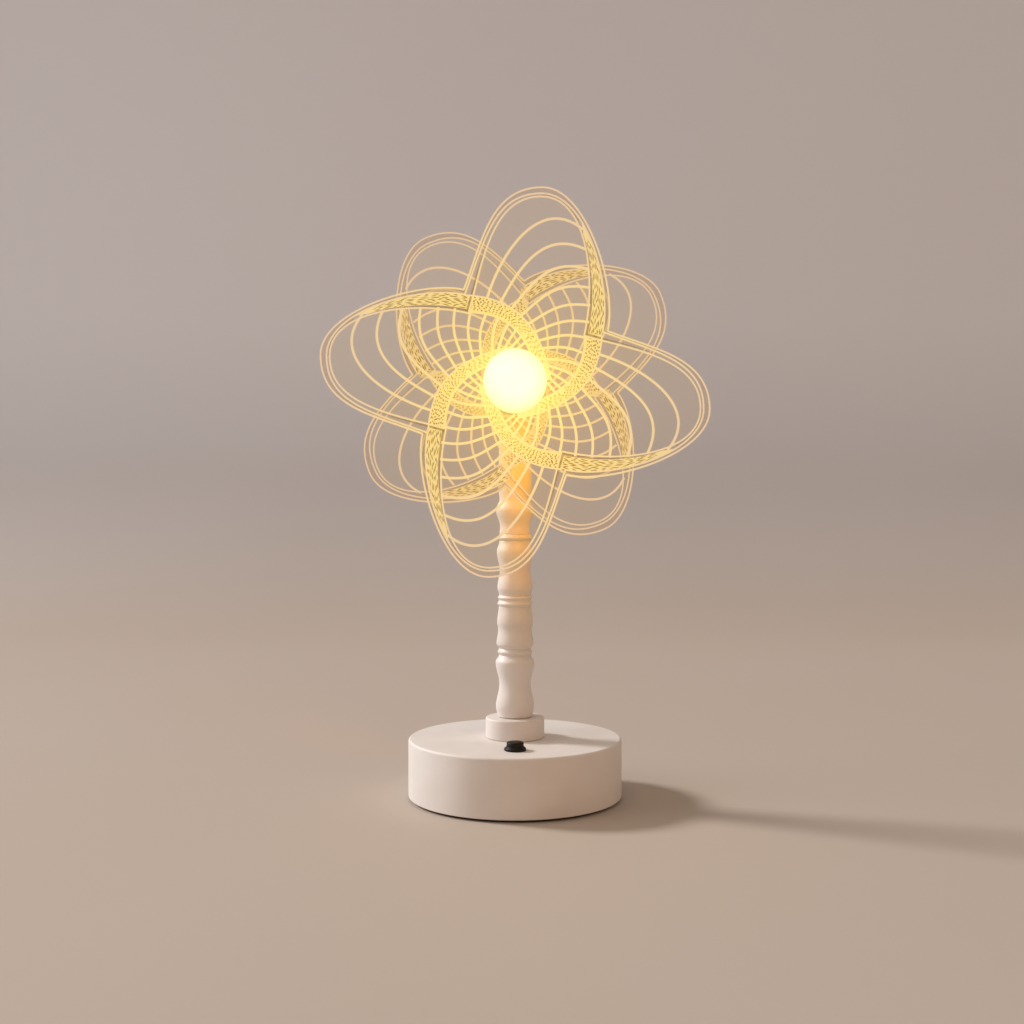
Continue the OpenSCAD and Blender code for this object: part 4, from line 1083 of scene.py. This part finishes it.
# %% Finishes for the inner parts
INNER = {
    ivory_shell: ["base_cover"],
    zinc_steel: ["cover_screws", "board_screws", "charge_port", "switch_nut", "stem_rod", "rod_washer",
                 "rod_nut"],
    oiled_iron: ["ballast_disc"],
    cell_wrap: ["battery_cell"],
    satin_black: ["battery_holder", "switch_body"],
    bright_brass: ["battery_contacts", "switch_terminals"],
    circuit_board: ["control_board"],
    pressed_fibre: ["friction_washers"],
    light_board: ["led_board"],
    light_chip: ["led_chips"],
    red_wire: ["battery_leads"],
    black_wire: ["switch_leads"],
    white_wire: ["stem_lead", "head_lead"],
}
for finish, names in INNER.items():
    for node in names:
        nodes[node].data.materials.clear()
        nodes[node].data.materials.append(finish)
print("solids with a finish of their own:", sum(len(names) for names in INNER.values()))

# %% [markdown]
# ## Floor, light and camera
# A pale floor sweeps up into a plain backdrop. Soft daylight comes from the left and a little from behind,
# and a weak warm light fills the other side. A lamp sits inside the globe, and a small spot helps its light
# on the stem's front. The globe and the clear flower cast no shadow, so that this light gets past them.

# %% Floor and backdrop
FLOOR_W, FLOOR_FRONT, FLOOR_BACK, SWEEP_R, WALL_H = 9.0, -3.6, 0.75, 0.45, 1.9
WARM_FLOOR, COOL_BACKDROP, BACKDROP_LIGHT = (0.52, 0.44, 0.37), (0.68, 0.68, 0.71), (0.07, 0.067, 0.071)
floor = add(bpy.ops.mesh.primitive_grid_add, x_subdivisions=2, y_subdivisions=80, size=1)
flat, bend = FLOOR_BACK - FLOOR_FRONT, SWEEP_R * math.pi / 2
for v in floor.data.vertices:
    run = (v.co.y + 0.5) * (flat + bend + WALL_H)
    turn = min(max(run - flat, 0) / SWEEP_R, math.pi / 2)
    rise = max(run - flat - bend, 0)
    v.co = (v.co.x * FLOOR_W, FLOOR_FRONT + min(run, flat) + SWEEP_R * math.sin(turn),
            SWEEP_R * (1 - math.cos(turn)) + rise)
floor.name = floor.data.name = "pale_floor"
smooth(floor, angle=60)
pale_floor, floor_shader, floor_where = start_finish("pale_floor")
floor_cloud = noise(floor_where, 0.002)
floor_rise = (along(floor_where, "Z") / SWEEP_R + 0.1 * (floor_cloud - 0.5)).held()
wire(pale_floor, floor_shader, Base_Color=ramp(floor_rise, (0.0, WARM_FLOOR), (0.6, COOL_BACKDROP)),
     Roughness=0.6 + 0.1 * floor_cloud, Emission_Strength=1.0,
     Emission_Color=ramp(floor_rise, (0.1, NO_LIGHT), (1.0, BACKDROP_LIGHT)))
floor.data.materials.append(pale_floor)
floor.visible_shadow = False
print("floor made")


# %% Lights
SPOT_SPREAD, SPOT_DROP = 45, 50
scene = bpy.context.scene


def lamp(name, kind, energy, colour, place, aim=None, size=None):
    data = bpy.data.lights.new(name, kind)
    data.energy, data.color = energy, colour
    light = bpy.data.objects.new(name, data)
    scene.collection.objects.link(light)
    light.location = place
    if aim:
        light.rotation_euler = (Vector(aim) - Vector(place)).to_track_quat("-Z", "Y").to_euler()
    if kind == "AREA":
        data.shape, data.size = "DISK", size
    elif kind == "SUN":
        data.angle = size
    else:
        data.shadow_soft_size = size
    if kind == "SPOT":
        data.spot_size, data.spot_blend = math.radians(SPOT_SPREAD), 1.0
    return light


lamp("window_light", "SUN", 2.5, (1.0, 0.97, 0.97), (-1.25, 0.5, 1.0), aim=(0, 0, 0.1), size=0.2)
lamp("side_light", "AREA", 6, (0.96, 0.97, 1.0), (-1.5, -0.3, 0.8), aim=(0, 0, 0.15), size=1.0)
lamp("room_light", "AREA", 18.8, (1.0, 0.5, 0.2), (1.4, -3.0, 0.9), aim=(0, 0, 0.1), size=3.2)
lamp("globe_light", "POINT", 0.09, (1.0, 0.52, 0.13), globe_centre, size=0.012)
stem_aim = (0, 0, (PIVOT_Z - SPOT_DROP) * MM)
lamp("stem_glow", "SPOT", 0.9, (1.0, 0.3, 0.01), (0.06, -0.16, 0.27), aim=stem_aim, size=0.02)
for piece in bpy.data.objects:
    if piece.name.startswith(("front_", "rear_", "globe_lit")):
        piece.visible_shadow = False

# %% [markdown]
# An even warm grey from all round fills the shadows. The Standard view shows colours as they were set,
# where the usual one would pale the yellow of the glow.

# %% World and view
world = bpy.data.worlds.new("soft_room")
scene.world = world
world.use_nodes = True
background = world.node_tree.nodes["Background"]
background.inputs["Color"].default_value = (0.88, 0.78, 0.69, 1)
background.inputs["Strength"].default_value = 0.36
scene.view_settings.view_transform = "Standard"
print("view transform:", scene.view_settings.view_transform)

# %% [markdown]
# A lens smears the light of a bright lamp a little over what lies beside it. The Glare node adds that bloom
# after the render, to whatever is close to plain white: the globe, and the lines next to it.

# %% Bloom
scene.use_nodes = True
bloom = scene.node_tree.nodes.new("CompositorNodeGlare")
bloom.glare_type = "BLOOM"
for socket, value in (("Threshold", 0.8), ("Strength", 0.58), ("Size", 0.35)):
    bloom.inputs[socket].default_value = value
picture = scene.node_tree.nodes["Render Layers"].outputs["Image"]
scene.node_tree.links.new(picture, bloom.inputs["Image"])
scene.node_tree.links.new(bloom.outputs["Image"], scene.node_tree.nodes["Composite"].inputs["Image"])
print("bloom added")

# %% [markdown]
# The camera stands where the photograph was taken: straight in front, at half the lamp's height, and almost
# level. Its lens is close to what the eye sees, so the base is seen from just above and the petals keep
# their proportions.

# %% Camera
FOCAL_MM, SENSOR_MM, CAMERA_DROP = 43.9, 36, 0.55
CAMERA_AT = (-1.76, -733.5, 174.3)
camera = bpy.data.objects.new("view_camera", bpy.data.cameras.new("view_camera"))
scene.collection.objects.link(camera)
camera.data.lens, camera.data.sensor_width = FOCAL_MM, SENSOR_MM
camera.location = tuple(v * MM for v in CAMERA_AT)
camera.rotation_euler = (math.radians(90 - CAMERA_DROP), 0, 0)
scene.camera = camera
print("camera made at", CAMERA_AT, "mm")
